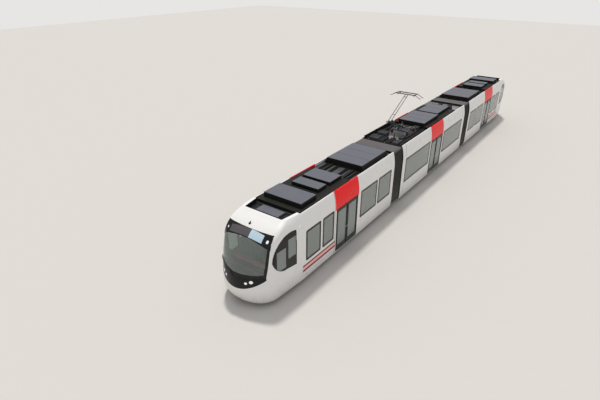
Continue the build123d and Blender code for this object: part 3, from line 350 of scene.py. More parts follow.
def body_paint():
    material, tree, shader, position, tint = finish_for(
        "body_paint", (0.82, 0.812, 0.800), 0.30, coat=0.05, gloss=0.2, scale=160.0, bump=0.06,
        mottle=0.03, dust=0.5, dust_height=0.95,
    )
    flat = vector_of(tree, "ABSOLUTE", position)
    along, across, up = parts_of(tree, flat)
    field = band_mask(tree, flat, BANDS[1][1], BANDS[0][0])
    bands = [band_mask(tree, flat, low, high) for low, high in BANDS]
    patches = [box_at(tree, flat, (low, 1.03, PATCH_LOW), (high, 1.3, 3.1)) for low, high in RED_PATCHES]
    seams = [seam_mask(tree, along, place_x) for place_x in SEAMS]
    coats = [
        (sum_of(tree, "MULTIPLY", field, FIELD_SHARE), FIELD_RED),
        (joined(tree, bands), BAND_RED),
        (joined(tree, patches), PATCH_RED),
        (sum_of(tree, "MULTIPLY", joined(tree, seams), SEAM_SHARE), SEAM_DARK),
        (deck_mask(tree, flat, -1.0, CAB_JOINT), DECK_GREY),
        # painted light beside the gangways, over the shadow of the lids and trunks
        (deck_mask(tree, flat, *LANDING), LANDING_PAINTED_LIGHT),
        (recess_mask(tree, along, across, up), RECESS_BLACK),
        (inside_mask(tree, position, along, up), LINING_GREY),
    ]
    for mask, colour in coats:
        tint = mix_colours(tree, mask, tint, colour)
    tree.links.new(tint, shader.inputs["Base Color"])
    return material


BODY_PAINT = body_paint()
print("body paint with", len(BODY_PAINT.node_tree.nodes), "nodes")

# %% [markdown]
# ## Glass
# The side windows are tinted grey-green and glued over black borders. The windscreen is one large
# pane whose rim is printed black, with a wider printed field at the top, where the display is.
# Printing is only a darker base colour, and the glass itself stays plain, so that it survives the
# export.

# %% Glass
CAB_GLASS = ((12.9, 0.0, 1.0), (14.5, 1.3, 3.0))
CAB_PANES = [((13.09, 0.0, 1.63), (13.49, 1.3, 2.40)), ((13.62, 0.0, 1.36), (14.08, 1.3, 2.16))]
WINDOW_PRINT = (0.008, 0.008, 0.009, 1.0)
SCREEN_PRINT = (0.008, 0.008, 0.010, 1.0)
SCREEN_HALF = 1.035
SCREEN_WAIST = 2.05
SCREEN_REACH = 0.72
SCREEN_FOOT = 1.36
SCREEN_LINE = 2.55
SCREEN_ARCH = -0.17


def glass_finish(name, colour, clearness):
    material, tree, shader, position, tint = finish_for(
        name, colour, 0.05, gloss=0.15, scale=4.0, bump=0.02, mottle=0.06
    )
    shader.inputs["Transmission Weight"].default_value = clearness
    shader.inputs["IOR"].default_value = 1.45
    return material, tree, shader, vector_of(tree, "ABSOLUTE", position), tint


def window_glass():
    material, tree, shader, flat, tint = glass_finish("window_glass", (0.56, 0.62, 0.59), 0.66)
    clear = joined(tree, [box_at(tree, flat, *corners) for corners in CAB_PANES])
    rest = sum_of(tree, "SUBTRACT", 1.0, clear)
    dark = sum_of(tree, "MULTIPLY", box_at(tree, flat, *CAB_GLASS), rest, clamp=True)
    tree.links.new(mix_colours(tree, dark, tint, WINDOW_PRINT), shader.inputs["Base Color"])
    return material


def windscreen_glass():
    """Printed within a border of the sides and the foot, and over an arch at the top."""
    material, tree, shader, flat, tint = glass_finish("windscreen_glass", (0.66, 0.73, 0.69), 0.86)
    _, across, up = parts_of(tree, flat)
    bow = sum_of(tree, "POWER", across, 2.0)
    from_waist = sum_of(tree, "DIVIDE", sum_of(tree, "SUBTRACT", up, SCREEN_WAIST), SCREEN_REACH)
    side = sum_of(tree, "MULTIPLY_ADD", sum_of(tree, "POWER", from_waist, 2.0), -0.035, SCREEN_HALF)
    sides = ramp_between(tree, sum_of(tree, "SUBTRACT", side, across), 0.075, 0.065)
    foot = sum_of(tree, "SUBTRACT", up, sum_of(tree, "MULTIPLY_ADD", bow, 0.02, SCREEN_FOOT))
    head = sum_of(tree, "SUBTRACT", up, sum_of(tree, "MULTIPLY_ADD", bow, SCREEN_ARCH, SCREEN_LINE))
    border = sum_of(tree, "MAXIMUM", sides, ramp_between(tree, foot, 0.11, 0.095))
    dark = sum_of(tree, "MAXIMUM", border, ramp_between(tree, head, -0.004, 0.004), clamp=True)
    tree.links.new(mix_colours(tree, dark, tint, SCREEN_PRINT), shader.inputs["Base Color"])
    return material


WINDOW_GLASS = window_glass()
WINDSCREEN_GLASS = windscreen_glass()
print("glass", WINDOW_GLASS.name, WINDSCREEN_GLASS.name)

# %% [markdown]
# ## Wheels
# A wheel is brown with brake dust, but its tread is polished bright as it runs. The two could be
# separate materials; one that knows the distance from the axle needs no cut in the mesh. That
# distance is worked out from each point's place, measured along and up from the nearest axle.

# %% Wheel steel
WHEEL_DULL = 0.62
TREAD_GLOSS = 0.24
TREAD_BRIGHT = (0.62, 0.61, 0.59, 1.0)


def wheel_steel():
    material, tree, shader, position, tint = finish_for(
        "wheel_steel", (0.13, 0.105, 0.085), WHEEL_DULL, metallic=0.7, scale=90.0, bump=0.25, mottle=0.5
    )
    along, _, up = parts_of(tree, vector_of(tree, "ABSOLUTE", position))
    outer, inner = BOGIES[0][1], BOGIES[1][1]
    for step in ((outer + inner) / 2, (outer - inner) / 2):
        along = sum_of(tree, "ABSOLUTE", sum_of(tree, "SUBTRACT", along, step))
    along = sum_of(tree, "SUBTRACT", along, WHEEL_OFFSET)
    spoke = place(tree, "ShaderNodeCombineXYZ", [along, sum_of(tree, "SUBTRACT", up, AXLE_HEIGHT), 0.0])
    polished = ramp_between(tree, vector_of(tree, "LENGTH", spoke, output="Value"), 0.290, 0.297)
    gloss = place(tree, "ShaderNodeMapRange", [polished, 0.0, 1.0, WHEEL_DULL, TREAD_GLOSS])
    tree.links.new(mix_colours(tree, polished, tint, TREAD_BRIGHT), shader.inputs["Base Color"])
    tree.links.new(gloss, shader.inputs["Roughness"])
    return material


WHEEL_STEEL = wheel_steel()
print("tread polished by", WHEEL_STEEL.name)

# %% [markdown]
# ## The other finishes
# Each is named for what it covers. Blacks differ by gloss and grain: lacquer on the doors, satin on
# the roof boxes, rubber on the bellows and seals. The grey lids hold a fine anti-slip grain.

# %% Remaining finishes
# Painted light: a lighter grey on the top of the bellows, where the high sun falls.
BELLOWS_TOP_PAINTED_LIGHT = (0.19, 0.178, 0.178, 1.0)


def bellows_rubber():
    """Charcoal rubber with dust, and painted light on its top: the top is painted a lighter grey where the
    high sun falls.
    """
    material, tree, shader, position, tint = finish_for(
        "bellows_rubber", (0.040, 0.040, 0.038), 0.7, gloss=0.3, scale=700.0, bump=0.5, mottle=0.35,
        dust=0.35, dust_height=1.6,
    )
    top = ramp_between(tree, parts_of(tree, position)[2], 2.86, 2.96)
    # painted light on the top of the bellows
    tree.links.new(mix_colours(tree, top, tint, BELLOWS_TOP_PAINTED_LIGHT), shader.inputs["Base Color"])
    return material


DOOR_BLACK = plain_finish(
    "door_black", (0.010, 0.010, 0.012), 0.24, coat=0.1, gloss=0.25, scale=200.0, bump=0.05, dust=0.25,
    dust_height=0.9,
)
MASK_BLACK = plain_finish(
    "mask_black", (0.006, 0.006, 0.009), 0.18, coat=0.1, gloss=0.2, scale=200.0, bump=0.03
)
ROOF_BLACK = plain_finish(
    "roof_black", (0.011, 0.011, 0.009), 0.6, gloss=0.15, scale=160.0, bump=0.3, mottle=0.5
)
LID_GREY = plain_finish(
    "lid_grey", (0.098, 0.104, 0.130), 0.40, gloss=0.5, scale=420.0, bump=0.35, mottle=0.22
)
UNDERFRAME = plain_finish(
    "underframe_paint", (0.055, 0.055, 0.058), 0.6, scale=120.0, bump=0.4, mottle=0.4, dust=0.5,
    dust_height=0.7,
)
BOGIE_STEEL = plain_finish(
    "bogie_steel", (0.065, 0.062, 0.060), 0.55, metallic=0.2, scale=140.0, bump=0.5, mottle=0.5, dust=0.8,
    dust_height=0.8,
)
CABIN_PLASTIC = plain_finish("cabin_plastic", (0.26, 0.27, 0.29), 0.5, scale=500.0, bump=0.3, mottle=0.1)
RUBBER = plain_finish(
    "black_rubber", (0.012, 0.012, 0.013), 0.62, gloss=0.25, scale=300.0, bump=0.25, mottle=0.2
)
BELLOWS_RUBBER = bellows_rubber()
COLLECTOR_ALLOY = plain_finish(
    "collector_alloy", (0.10, 0.105, 0.11), 0.42, metallic=0.75, scale=260.0, bump=0.2, mottle=0.3
)
BARE_STEEL = plain_finish(
    "bare_steel", (0.45, 0.45, 0.45), 0.32, metallic=0.9, scale=300.0, bump=0.15, mottle=0.15
)
WHITE_TRIM = plain_finish(
    "white_trim", (0.82, 0.812, 0.800), 0.30, coat=0.05, gloss=0.2, scale=200.0, bump=0.05, mottle=0.03
)
BRUSH_CARBON = plain_finish("strip_carbon", (0.030, 0.030, 0.032), 0.5, scale=240.0, bump=0.4, mottle=0.4)
CERAMIC = plain_finish(
    "insulator_glaze", (0.16, 0.055, 0.035), 0.22, coat=0.6, scale=60.0, bump=0.05, mottle=0.2
)
SEAT_FABRIC = plain_finish("seat_shell", (0.085, 0.095, 0.13), 0.6, scale=650.0, bump=0.4, mottle=0.2)


def lens_finish(name, colour, glow):
    """A clear lamp lens over its reflector: a little light of its own, and fine ribs."""
    material, tree, shader, position, _ = finish_for(
        name, colour, 0.08, coat=1.0, scale=300.0, bump=0.1, mottle=0.05
    )
    ribs = place(tree, "ShaderNodeTexWave", {"Vector": position, "Scale": 28.0}, bands_direction="Y")
    relief = place(tree, "ShaderNodeBump", {"Strength": 0.35, "Distance": 0.003, "Height": ribs})
    tree.links.new(relief, shader.inputs["Normal"])
    shader.inputs["Emission Color"].default_value = (*colour, 1.0)
    shader.inputs["Emission Strength"].default_value = glow
    return material


LAMP_LENS = lens_finish("lamp_lens", (0.86, 0.88, 0.90), 0.25)
NODE_FINISHES = {
    "shell": BODY_PAINT, "nose": BODY_PAINT, "floor": UNDERFRAME, "wheel_boxes": CABIN_PLASTIC,
    "windscreen": WINDSCREEN_GLASS, "glass": WINDOW_GLASS, "mask": MASK_BLACK, "lamps": LAMP_LENS,
    "doors": DOOR_BLACK, "roof_housings": ROOF_BLACK, "roof_lids": LID_GREY, "interior": SEAT_FABRIC,
    "bulkhead": CABIN_PLASTIC, "bellows": BELLOWS_RUBBER, "frame": BOGIE_STEEL,
    "wheelset_front": WHEEL_STEEL, "wheelset_rear": WHEEL_STEEL,
}
for node_name, node_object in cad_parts.items():
    chosen = [finish for ending, finish in NODE_FINISHES.items() if node_name.endswith(ending)]
    finish = chosen[0] if chosen else COLLECTOR_ALLOY
    node_object.data.materials.clear()
    node_object.data.materials.append(finish)
print("finishes on", len(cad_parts), "nodes")

# %% [markdown]
# ## Building pieces
# A piece is one bmesh, shaped with Blender's own operators and then turned into an object that rides
# on a body of the tram. The same few shapes return everywhere: softened blocks, rods and rings. The
# bevel's defaults differ from the editor's, so one helper gives it the same settings each time.

# %% Piece helpers
TURNED_STEPS = 32
pieces_made = []


def smooth_mesh(bm, name, material, sharp=35.0):
    """The mesh of a finished bmesh: faces outwards, smooth but for its sharp edges."""
    bmesh.ops.recalc_face_normals(bm, faces=bm.faces)
    mesh = bpy.data.meshes.new(name)
    bm.to_mesh(mesh)
    bm.free()
    mesh.polygons.foreach_set("use_smooth", [True] * len(mesh.polygons))
    mesh.set_sharp_from_angle(angle=math.radians(sharp))
    mesh.materials.append(material)
    return mesh


def put_in_scene(name, data):
    """An object at the origin that shows a mesh, a camera or a light."""
    made = bpy.data.objects.new(name, data)
    bpy.context.collection.objects.link(made)
    return made


def note_piece(piece):
    pieces_made.append(len(piece.data.polygons))
    print(piece.name, pieces_made[-1], "faces")


def finish_piece(bm, name, body, material):
    """Makes an object from a bmesh, riding on a body."""
    piece = put_in_scene(name, smooth_mesh(bm, name, material))
    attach(piece, body)
    note_piece(piece)


def edges_of(verts):
    return list({edge for vert in verts for edge in vert.link_edges})


def soften(bm, geometry, offset, segments=2, affect="EDGES"):
    """Rounds edges, or corners where asked."""
    bmesh.ops.bevel(
        bm, geom=geometry, offset=offset, offset_type="OFFSET", segments=segments, profile=0.5,
        affect=affect, material=-1, clamp_overlap=True,
    )


def add_block(bm, low, high, rounding, segments=2):
    """A box between two corners, with its edges rounded."""
    low, high = Vector(low), Vector(high)
    matrix = Matrix.Translation((low + high) / 2) @ Matrix.Diagonal((*(high - low), 1.0))
    verts = bmesh.ops.create_cube(bm, size=1.0, matrix=matrix)["verts"]
    soften(bm, edges_of(verts), rounding, segments)


def add_rod(bm, start, end, radius, end_radius=None, segments=16, rounding=0.0):
    """A round bar or cone between two points."""
    start, end = Vector(start), Vector(end)
    way = end - start
    tip = radius if end_radius is None else end_radius
    matrix = Matrix.Translation((start + end) / 2) @ way.to_track_quat("Z", "Y").to_matrix().to_4x4()
    verts = bmesh.ops.create_cone(
        bm, cap_ends=True, segments=segments, radius1=radius, radius2=tip, depth=way.length, matrix=matrix
    )["verts"]
    if rounding:
        rims = [edge for edge in edges_of(verts) if any(len(face.verts) > 4 for face in edge.link_faces)]
        soften(bm, rims, rounding)


def add_turned(bm, profile, centre):
    """A turned shape along X: a line of (place, radius) points spun round its centre."""
    verts = [bm.verts.new(Vector(centre) + Vector((along, 0, radius))) for along, radius in profile]
    edges = [bm.edges.new(pair) for pair in zip(verts, verts[1:])]
    bmesh.ops.spin(
        bm, geom=verts + edges, cent=centre, axis=(1, 0, 0), dvec=(0, 0, 0),
        angle=2 * math.pi, steps=TURNED_STEPS, use_merge=True, use_duplicate=False,
    )
    bmesh.ops.remove_doubles(bm, verts=bm.verts, dist=0.0002)

# %% [markdown]
# ## Frames, mirror images and sections
# A frame starts as a flat face with round corners, is inset and then thickened, which keeps its width
# even all round. Left and right are mirror images, and the rear end is the front one turned half
# round, so each piece is built once and placed by these helpers.

# %% Frames and placing
def add_panel(bm, x0, x1, z0, z1, radius, y):
    """A flat rounded face that looks along +Y, ready to be inset or thickened."""
    earlier = set(bm.faces)
    matrix = Matrix.Translation(((x0 + x1) / 2, y, (z0 + z1) / 2)) @ Matrix.Rotation(-math.pi / 2, 4, "X")
    matrix = matrix @ Matrix.Diagonal((x1 - x0, z1 - z0, 1.0, 1.0))
    verts = bmesh.ops.create_grid(bm, x_segments=1, y_segments=1, size=0.5, matrix=matrix)["verts"]
    soften(bm, verts, radius, 5, "VERTICES")
    return (set(bm.faces) - earlier).pop()


def add_ring(bm, x0, x1, z0, z1, radius, width, y, thickness):
    """A rounded frame that faces +Y, with an open middle."""
    face = add_panel(bm, x0, x1, z0, z1, radius, y)
    ring = bmesh.ops.inset_region(
        bm, faces=[face], use_boundary=True, use_even_offset=True, thickness=width, depth=0.0
    )["faces"]
    bmesh.ops.delete(bm, geom=[face], context="FACES")
    bmesh.ops.solidify(bm, geom=ring, thickness=thickness)


def mirror_across(bm):
    """Adds the mirror image on the other side of the tram."""
    geometry = bm.verts[:] + bm.edges[:] + bm.faces[:]
    bmesh.ops.mirror(bm, geom=geometry, matrix=Matrix.Identity(4), merge_dist=-1.0, axis="Y")


def turn_round(bm):
    """Turns a piece of the front end half round, to the rear end."""
    bmesh.ops.rotate(bm, verts=bm.verts, cent=(0, 0, 0), matrix=Matrix.Rotation(math.pi, 3, "Z"))


def one_piece(name, body, material, make, sides=False, turned=False, shift=0.0):
    """Builds a piece, then mirrors it across, turns it round or moves it along, where asked."""
    bm = bmesh.new()
    make(bm)
    if sides:
        mirror_across(bm)
    if turned:
        turn_round(bm)
    if shift:
        bmesh.ops.translate(bm, verts=bm.verts, vec=(shift, 0, 0))
    finish_piece(bm, name, body, material)


def both_ends(name, material, make, sides=True):
    """The same piece on the front and the rear section, on both sides where asked."""
    for end in ("front", "rear"):
        one_piece(f"{end}_{name}", f"{end}_section", material, make, sides, turned=end == "rear")


def on_middle(name, material, make, sides):
    one_piece(f"middle_{name}", "middle", material, make, sides)


def all_sections(name, material, at_ends, at_middle, sides=True):
    """A piece that every section has, at places of its own on the ends and in the middle."""
    both_ends(name, material, at_ends, sides)
    on_middle(name, material, at_middle, sides)

# %% [markdown]
# ## Gangway bellows
# The bellows is a moulded rubber hood folded like a concertina. A pattern of folds in the material
# would stay flat at its edges, so the folds are real: a band in the shape of the hood is extruded
# along the tram, cut at every fold, and each second cut is drawn in towards the middle. Inside it
# runs the cabin's smooth arch. A black frame at each end stays with its own section.

# %% Folded bellows
FOLDS = 9
FOLD_DEPTH = 0.055
FOLD_ROUNDING = 0.010
HOOD_FOOT = 0.27
HOOD_HEART = 1.4
HOOD_INSET = 0.015
HOOD_WALL = 0.055
COLLAR_INSET = 0.008
COLLAR_WALL = 0.075
COLLAR_DEPTH = 0.022
LINING_OUTSIDE = [(0.690, 0.46), (0.690, 2.42)]
LINING_INSIDE = [(0.660, 0.46), (0.660, 2.39)]


def hood_outline(inset):
    """Half of the hood from its foot to the roof, as a few points: the body's outline, drawn in."""
    side, roof = HALF_WIDTH - inset, 1.08 - inset
    return [
        (side - 0.025, HOOD_FOOT), (side, 0.48), (side, 2.28), (side - 0.014, 2.53), (side - 0.055, 2.78),
        (roof, 3.01 - inset), (roof - 0.2, 3.01 - inset),
    ]


def add_band(bm, x, depth, outside, inside):
    """A band between two half outlines and their mirror images, extruded along +X."""
    points = outside + [(-y, z) for y, z in reversed(outside)]
    back = inside + [(-y, z) for y, z in reversed(inside)]
    verts = [bm.verts.new((x, y, z)) for y, z in points + back[::-1]]
    face = bm.faces.new(verts)
    grown = bmesh.ops.extrude_face_region(bm, geom=[face], use_keep_orig=True)["geom"]
    moved = [item for item in grown if isinstance(item, bmesh.types.BMVert)]
    bmesh.ops.translate(bm, verts=moved, vec=(depth, 0, 0))


def add_hood_band(bm, x, depth, outer, wall):
    add_band(bm, x, depth, hood_outline(outer), hood_outline(outer + wall))

# %% [markdown]
# ## The folds and the arch inside them
# The cuts are evenly spaced along the gangway, so that the folds are even.

# %% Folds, lining and frames of the bellows
def cut_across(bm, count):
    """Cuts a band across at even steps along the gangway."""
    for index in range(1, count):
        x = MIDDLE_END + GANGWAY * index / count
        geometry = bm.verts[:] + bm.edges[:] + bm.faces[:]
        bmesh.ops.bisect_plane(bm, geom=geometry, plane_co=(x, 0, 0), plane_no=(1, 0, 0))


def is_ridge(edge):
    """True for an edge across the tram, unless it lies at an end of the gangway."""
    first, second = (vert.co.x for vert in edge.verts)
    return abs(first - second) < 1e-5 and MIDDLE_END + 0.01 < first < END_START - 0.01


def add_folds(bm):
    """The hood, cut at every fold, with each second cut drawn in and every ridge rounded."""
    add_hood_band(bm, MIDDLE_END, GANGWAY, HOOD_INSET, HOOD_WALL)
    cut_across(bm, 2 * FOLDS)
    step = GANGWAY / (2 * FOLDS)
    drawn = [vert for vert in bm.verts if round((vert.co.x - MIDDLE_END) / step) % 2]
    bmesh.ops.scale(
        bm, vec=(1.0, 1.0 - FOLD_DEPTH, 1.0 - FOLD_DEPTH), verts=drawn,
        space=Matrix.Translation((0, 0, -HOOD_HEART)),
    )
    soften(bm, [edge for edge in bm.edges if is_ridge(edge)], FOLD_ROUNDING)


def add_lining(bm):
    """The cabin's arch, cut into as many pieces as there are folds. It is made apart, so that only it is
    cut.
    """
    apart = bmesh.new()
    add_band(apart, MIDDLE_END, GANGWAY, LINING_OUTSIDE, LINING_INSIDE)
    cut_across(apart, FOLDS)
    lining = bpy.data.meshes.new("gangway_lining")
    apart.to_mesh(lining)
    apart.free()
    bm.from_mesh(lining)
    bpy.data.meshes.remove(lining)


def build_bellows(end, sign):
    bm = bmesh.new()
    add_folds(bm)
    add_lining(bm)
    if sign < 0:
        turn_round(bm)
    name = f"{end}_bellows_folds"
    folds = put_in_scene(name, smooth_mesh(bm, name, BELLOWS_RUBBER, 50.0))
    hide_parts(f"{end}_bellows")
    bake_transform(folds)
    note_piece(folds)


def bellows_collar(place_x):
    def make(bm):
        add_hood_band(bm, place_x, COLLAR_DEPTH, COLLAR_INSET, COLLAR_WALL)
    return make


for end_name, end_sign in (("front", 1), ("rear", -1)):
    build_bellows(end_name, end_sign)
    for body, place_x in ((end_name + "_section", END_START - COLLAR_DEPTH), ("middle", MIDDLE_END)):
        name = f"{end_name}_bellows_frame_{body}"
        one_piece(name, body, DOOR_BLACK, bellows_collar(place_x), turned=end_sign < 0)
print("bellows with", FOLDS, "folds")

# %% [markdown]
# ## Window frames
# Each side window sits in a black frame that stands a few millimetres proud of the white pillars. A
# rounded plate is inset to a ring, its middle is taken out, and the ring is thickened.

# %% Window frames
FRAME_FACE = HALF_WIDTH + 0.002
FRAME_WIDTH = 0.092
FRAME_LAP = 0.020
FRAME_CORNER = 0.07
FRAME_THICK = 0.006


def add_window_frames(spans):
    def make(bm):
        for x0, x1 in spans:
            add_ring(
                bm, x0 - FRAME_LAP, x1 + FRAME_LAP, WINDOW[0] - FRAME_LAP, WINDOW[1] + FRAME_LAP,
                FRAME_CORNER, FRAME_WIDTH, FRAME_FACE, FRAME_THICK,
            )
    return make


all_sections(
    "window_frames", DOOR_BLACK, add_window_frames(END_WINDOWS),
    add_window_frames(MIDDLE_WINDOWS),
)

# %% [markdown]
# ## Doors
# Each doorway holds two sliding leaves. Their dress is a rubber seal round the opening, a slim bead
# round each pane, soft finger guards where the leaves meet, a bright step edge and a push button on
# each leaf.

# %% Door seals, beads, guards and buttons
LEAF_FACE = HALF_WIDTH - 0.010
LEAF_GLASS = [(-0.71, -0.093), (0.093, 0.71)]
SEAL_LAP = 0.035
BEAD_LAP = 0.012
GUARD_X = 0.016
STEP_HALF = 0.79
BUTTON_X = 0.055
BUTTON_HEIGHT = 1.12


def add_door_rubber(door_x):
    def make(bm):
        add_ring(
            bm, door_x - DOOR_HALF - SEAL_LAP, door_x + DOOR_HALF + SEAL_LAP,
            DOOR[0] - 0.03, DOOR[1] + 0.04, 0.06, 0.045, FRAME_FACE, 0.007,
        )
        for x0, x1 in LEAF_GLASS:
            add_ring(
                bm, door_x + x0 - BEAD_LAP, door_x + x1 + BEAD_LAP,
                DOOR_GLASS[0] - BEAD_LAP, DOOR_GLASS[1] + BEAD_LAP, 0.08, 0.022, LEAF_FACE + 0.002, 0.004,
            )
        for side in (-1, 1):
            x = door_x + side * GUARD_X
            add_rod(bm, (x, LEAF_FACE, DOOR[0] + 0.01), (x, LEAF_FACE, DOOR[1] - 0.01), 0.011, segments=12)
    return make


def add_door_metal(door_x):
    def make(bm):
        add_block(
            bm, (door_x - STEP_HALF, LEAF_FACE - 0.05, DOOR[0] - 0.012),
            (door_x + STEP_HALF, FRAME_FACE, DOOR[0] + 0.012), 0.004,
        )
        for side in (-1, 1):
            x = door_x + side * BUTTON_X
            back, front = (x, LEAF_FACE - 0.004, BUTTON_HEIGHT), (x, LEAF_FACE + 0.008, BUTTON_HEIGHT)
            add_rod(bm, back, front, 0.032, 0.028, segments=24, rounding=0.003)
    return make


all_sections("door_rubber", RUBBER, add_door_rubber(END_DOOR), add_door_rubber(0.0))
all_sections("door_metal", BARE_STEEL, add_door_metal(END_DOOR), add_door_metal(0.0))

# %% [markdown]
# ## Beads along the glass
# Glass is set in a black bead. Its place is looked for in the frame's own mesh, on the windscreen,
# the mask, the lamps and the cab's side windows: it is where an outward face meets a steep side.
# Those edges are walked into runs, and a curve with a round bevel runs along each. This test misses
# some rims: the windscreen gets its bead along the upper sides and round the lamp openings only. The
# walk starts at any edge and leaves out runs of five points or fewer, so the beads have short gaps,
# at other places each time.

# %% Rims of the cab glass
NOSE_CENTRE = Vector((13.2, 0.0, 1.8))
RIM_ANGLE = math.radians(40)
CAB_START = 12.9


def rim_edges(bm, threshold):
    """Edges where a face that looks away from the middle of the nose turns sharply into a rim."""
    chosen = []
    for edge in bm.edges:
        if len(edge.link_faces) != 2:
            continue
        first, second = (face.normal for face in edge.link_faces)
        out = ((edge.verts[0].co + edge.verts[1].co) / 2 - NOSE_CENTRE).normalized()
        if first.angle(second, 0.0) > RIM_ANGLE and max(first.dot(out), second.dot(out)) > threshold:
            chosen.append(edge)
    return chosen


def walk_loops(edges):
    """Orders loose edges into runs of points, and tells which of them are closed."""
    left = set(edges)
    loops = []
    while left:
        edge = left.pop()
        start, vert = edge.verts
        loop = [start.co.copy(), vert.co.copy()]
        while True:
            following = next((other for other in vert.link_edges if other in left), None)
            if following is None:
                break
            left.discard(following)
            vert = following.other_vert(vert)
            if vert is start:
                break
            loop.append(vert.co.copy())
        if len(loop) > 5:
            loops.append((loop, vert is start))
    return loops


def round_line(radius):
    """An empty curve with a round bevel and closed ends."""
    curve = bpy.data.curves.new("round_line", "CURVE")
    curve.dimensions = "3D"
    curve.bevel_depth = radius
    curve.bevel_resolution = 2
    curve.use_fill_caps = True
    return curve


def add_spline(curve, kind, points):
    spline = curve.splines.new(kind)
    spline.points.add(len(points) - 1)
    for target, point in zip(spline.points, points):
        target.co = (*point, 1.0)
    return spline


def add_curve(bm, curve):
    """Adds a curve's mesh to a bmesh and clears the curve away."""
    carrier = bpy.data.objects.new("round_line", curve)
    mesh = bpy.data.meshes.new_from_object(carrier)
    bm.from_mesh(mesh)
    bpy.data.objects.remove(carrier)
    bpy.data.curves.remove(curve)
    bpy.data.meshes.remove(mesh)


def add_tubes(bm, loops, radius):
    """Round beads along closed loops or open runs of points."""
    curve = round_line(radius)
    for points, closed in loops:
        add_spline(curve, "POLY", points).use_cyclic_u = closed
    add_curve(bm, curve)


def rim_beads(node, radius, within, threshold=0.8, sunk=0.0):
    """A bead along those rims of a node whose mean point passes a test, drawn in by a hair if asked."""
    source = bmesh.new()
    source.from_mesh(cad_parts[node].data)
    bmesh.ops.remove_doubles(source, verts=source.verts, dist=0.0003)
    loops = []
    for points, closed in walk_loops(rim_edges(source, threshold)):
        middle = sum(points, Vector()) / len(points)
        if within(middle):
            drawn = [point + (NOSE_CENTRE - point).normalized() * sunk for point in points]
            loops.append((drawn, closed))
            print(node, "rim", len(points), "points round", [round(value, 2) for value in middle])
    source.free()

    def make(bm):
        add_tubes(bm, loops, radius)
    return make


def in_cab(middle):
    return middle.x > CAB_START


for name, material, slot, beads in (
    (
        "windscreen_bead", RUBBER, "black_gloss",
        rim_beads("front_windscreen", 0.011, lambda middle: middle.z > 1.5),
    ),
    ("cab_window_bead", RUBBER, "black_gloss", rim_beads("front_glass", 0.009, in_cab)),
    ("lamp_bezels", BARE_STEEL, "lamp_lens", rim_beads("front_lamps", 0.004, in_cab, 0.6)),
    (
        "mask_bead", RUBBER, "black_gloss",
        rim_beads("front_mask", 0.006, lambda middle: middle.z < 1.38, sunk=0.005),
    ),
):
    both_ends(name, material, beads, sides=False)

# %% [markdown]
# ## Laying strips on the curved nose
# A flat strip in front of the cab is dropped back along the tram until it meets the windscreen or the
# paint under it, and is lifted off by a hair. This is how the blank display, the pale panel beside it
# and the wiper find their place without being modelled on a curve by hand.

# %% Drape helpers
NOSE_COVERINGS = ("front_nose", "front_windscreen", "front_mask")
IN_FRONT = 16.0
nose_surface_bm = bmesh.new()
for covering in NOSE_COVERINGS:
    nose_surface_bm.from_mesh(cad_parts[covering].data)
NOSE_SURFACE = BVHTree.FromBMesh(nose_surface_bm)
nose_surface_bm.free()


def on_nose(y, z, lift):
    """The point of the nose seen from the front at y and z, lifted off along the surface's normal."""
    found, normal = NOSE_SURFACE.ray_cast(Vector((IN_FRONT, y, z)), Vector((-1, 0, 0)))[:2]
    return found + normal * lift


def nose_line(points, lift):
    return [on_nose(y, z, lift) for y, z in points], False


print("nose of", len(NOSE_COVERINGS), "nodes, foremost at", round(on_nose(0.0, 1.0, 0.0).x, 3), "m")

# %% [markdown]
# ## Display and wiper
# On the real tram a dark display and a pale panel show through the top of the windscreen. Here they
# are thin plates laid on the pane, whose outer ends hang lower than their middle, as the pane's top
# does. The long wiper is parked low on the right-hand side as seen from the cab: a thin sprung blade
# under one jointed arm.

# %% Display and wiper
DISPLAY_DARK = plain_finish(
    "display_dark", (0.060, 0.052, 0.060), 0.12, coat=0.9, scale=30.0, bump=0.02, mottle=0.9
)
DISPLAY_PALE = plain_finish(
    "display_pale", (0.50, 0.66, 0.76), 0.10, coat=0.9, scale=20.0, bump=0.02, mottle=0.25
)
PANEL_LIFT = 0.0015
PANEL_THICK = 0.002
PANEL_DROOP = -0.10
WIPER_STEPS = 14
WIPER_FOOT = (-0.10, 1.335)
WIPER_JOINT = (-0.56, 1.508)
WIPER_ARM = [WIPER_FOOT, (-0.20, 1.385), (-0.36, 1.440), WIPER_JOINT]


def draped_panel(y0, y1, z0, z1):
    """A thin plate laid on the windscreen: a grid whose points are dropped on the pane."""
    def make(bm):
        centre = Matrix.Translation((0, (y0 + y1) / 2, (z0 + z1) / 2))
        matrix = centre @ Matrix.Rotation(math.pi / 2, 4, "Y")
        matrix = matrix @ Matrix.Diagonal((z1 - z0, y1 - y0, 1.0, 1.0))
        verts = bmesh.ops.create_grid(bm, x_segments=6, y_segments=24, size=0.5, matrix=matrix)["verts"]
        for vert in verts:
            vert.co = on_nose(vert.co.y, vert.co.z + PANEL_DROOP * vert.co.y ** 2, PANEL_LIFT)
        faces = list({face for vert in verts for face in vert.link_faces})
        bmesh.ops.solidify(bm, geom=faces, thickness=PANEL_THICK)
    return make


def add_wiper(bm):
    shares = [step / WIPER_STEPS for step in range(WIPER_STEPS + 1)]
    blade = [(-0.15 - 0.80 * share, 1.440 + 0.125 * share ** 1.3) for share in shares]
    add_tubes(bm, [nose_line(blade, 0.011)], 0.009)
    add_tubes(bm, [nose_line([(y, z + 0.010) for y, z in blade[1:-1]], 0.024)], 0.007)
    add_tubes(bm, [nose_line(WIPER_ARM, 0.034)], 0.012)
    hub = on_nose(*WIPER_FOOT, 0.0)
    add_rod(
        bm, hub - Vector((0.02, 0, 0)), hub + Vector((0.042, 0, 0)), 0.030, 0.024, segments=24,
        rounding=0.004,
    )
    joint = on_nose(*WIPER_JOINT, 0.0)
    add_rod(bm, joint + Vector((0.010, 0, 0)), joint + Vector((0.042, 0, 0.006)), 0.014, rounding=0.003)


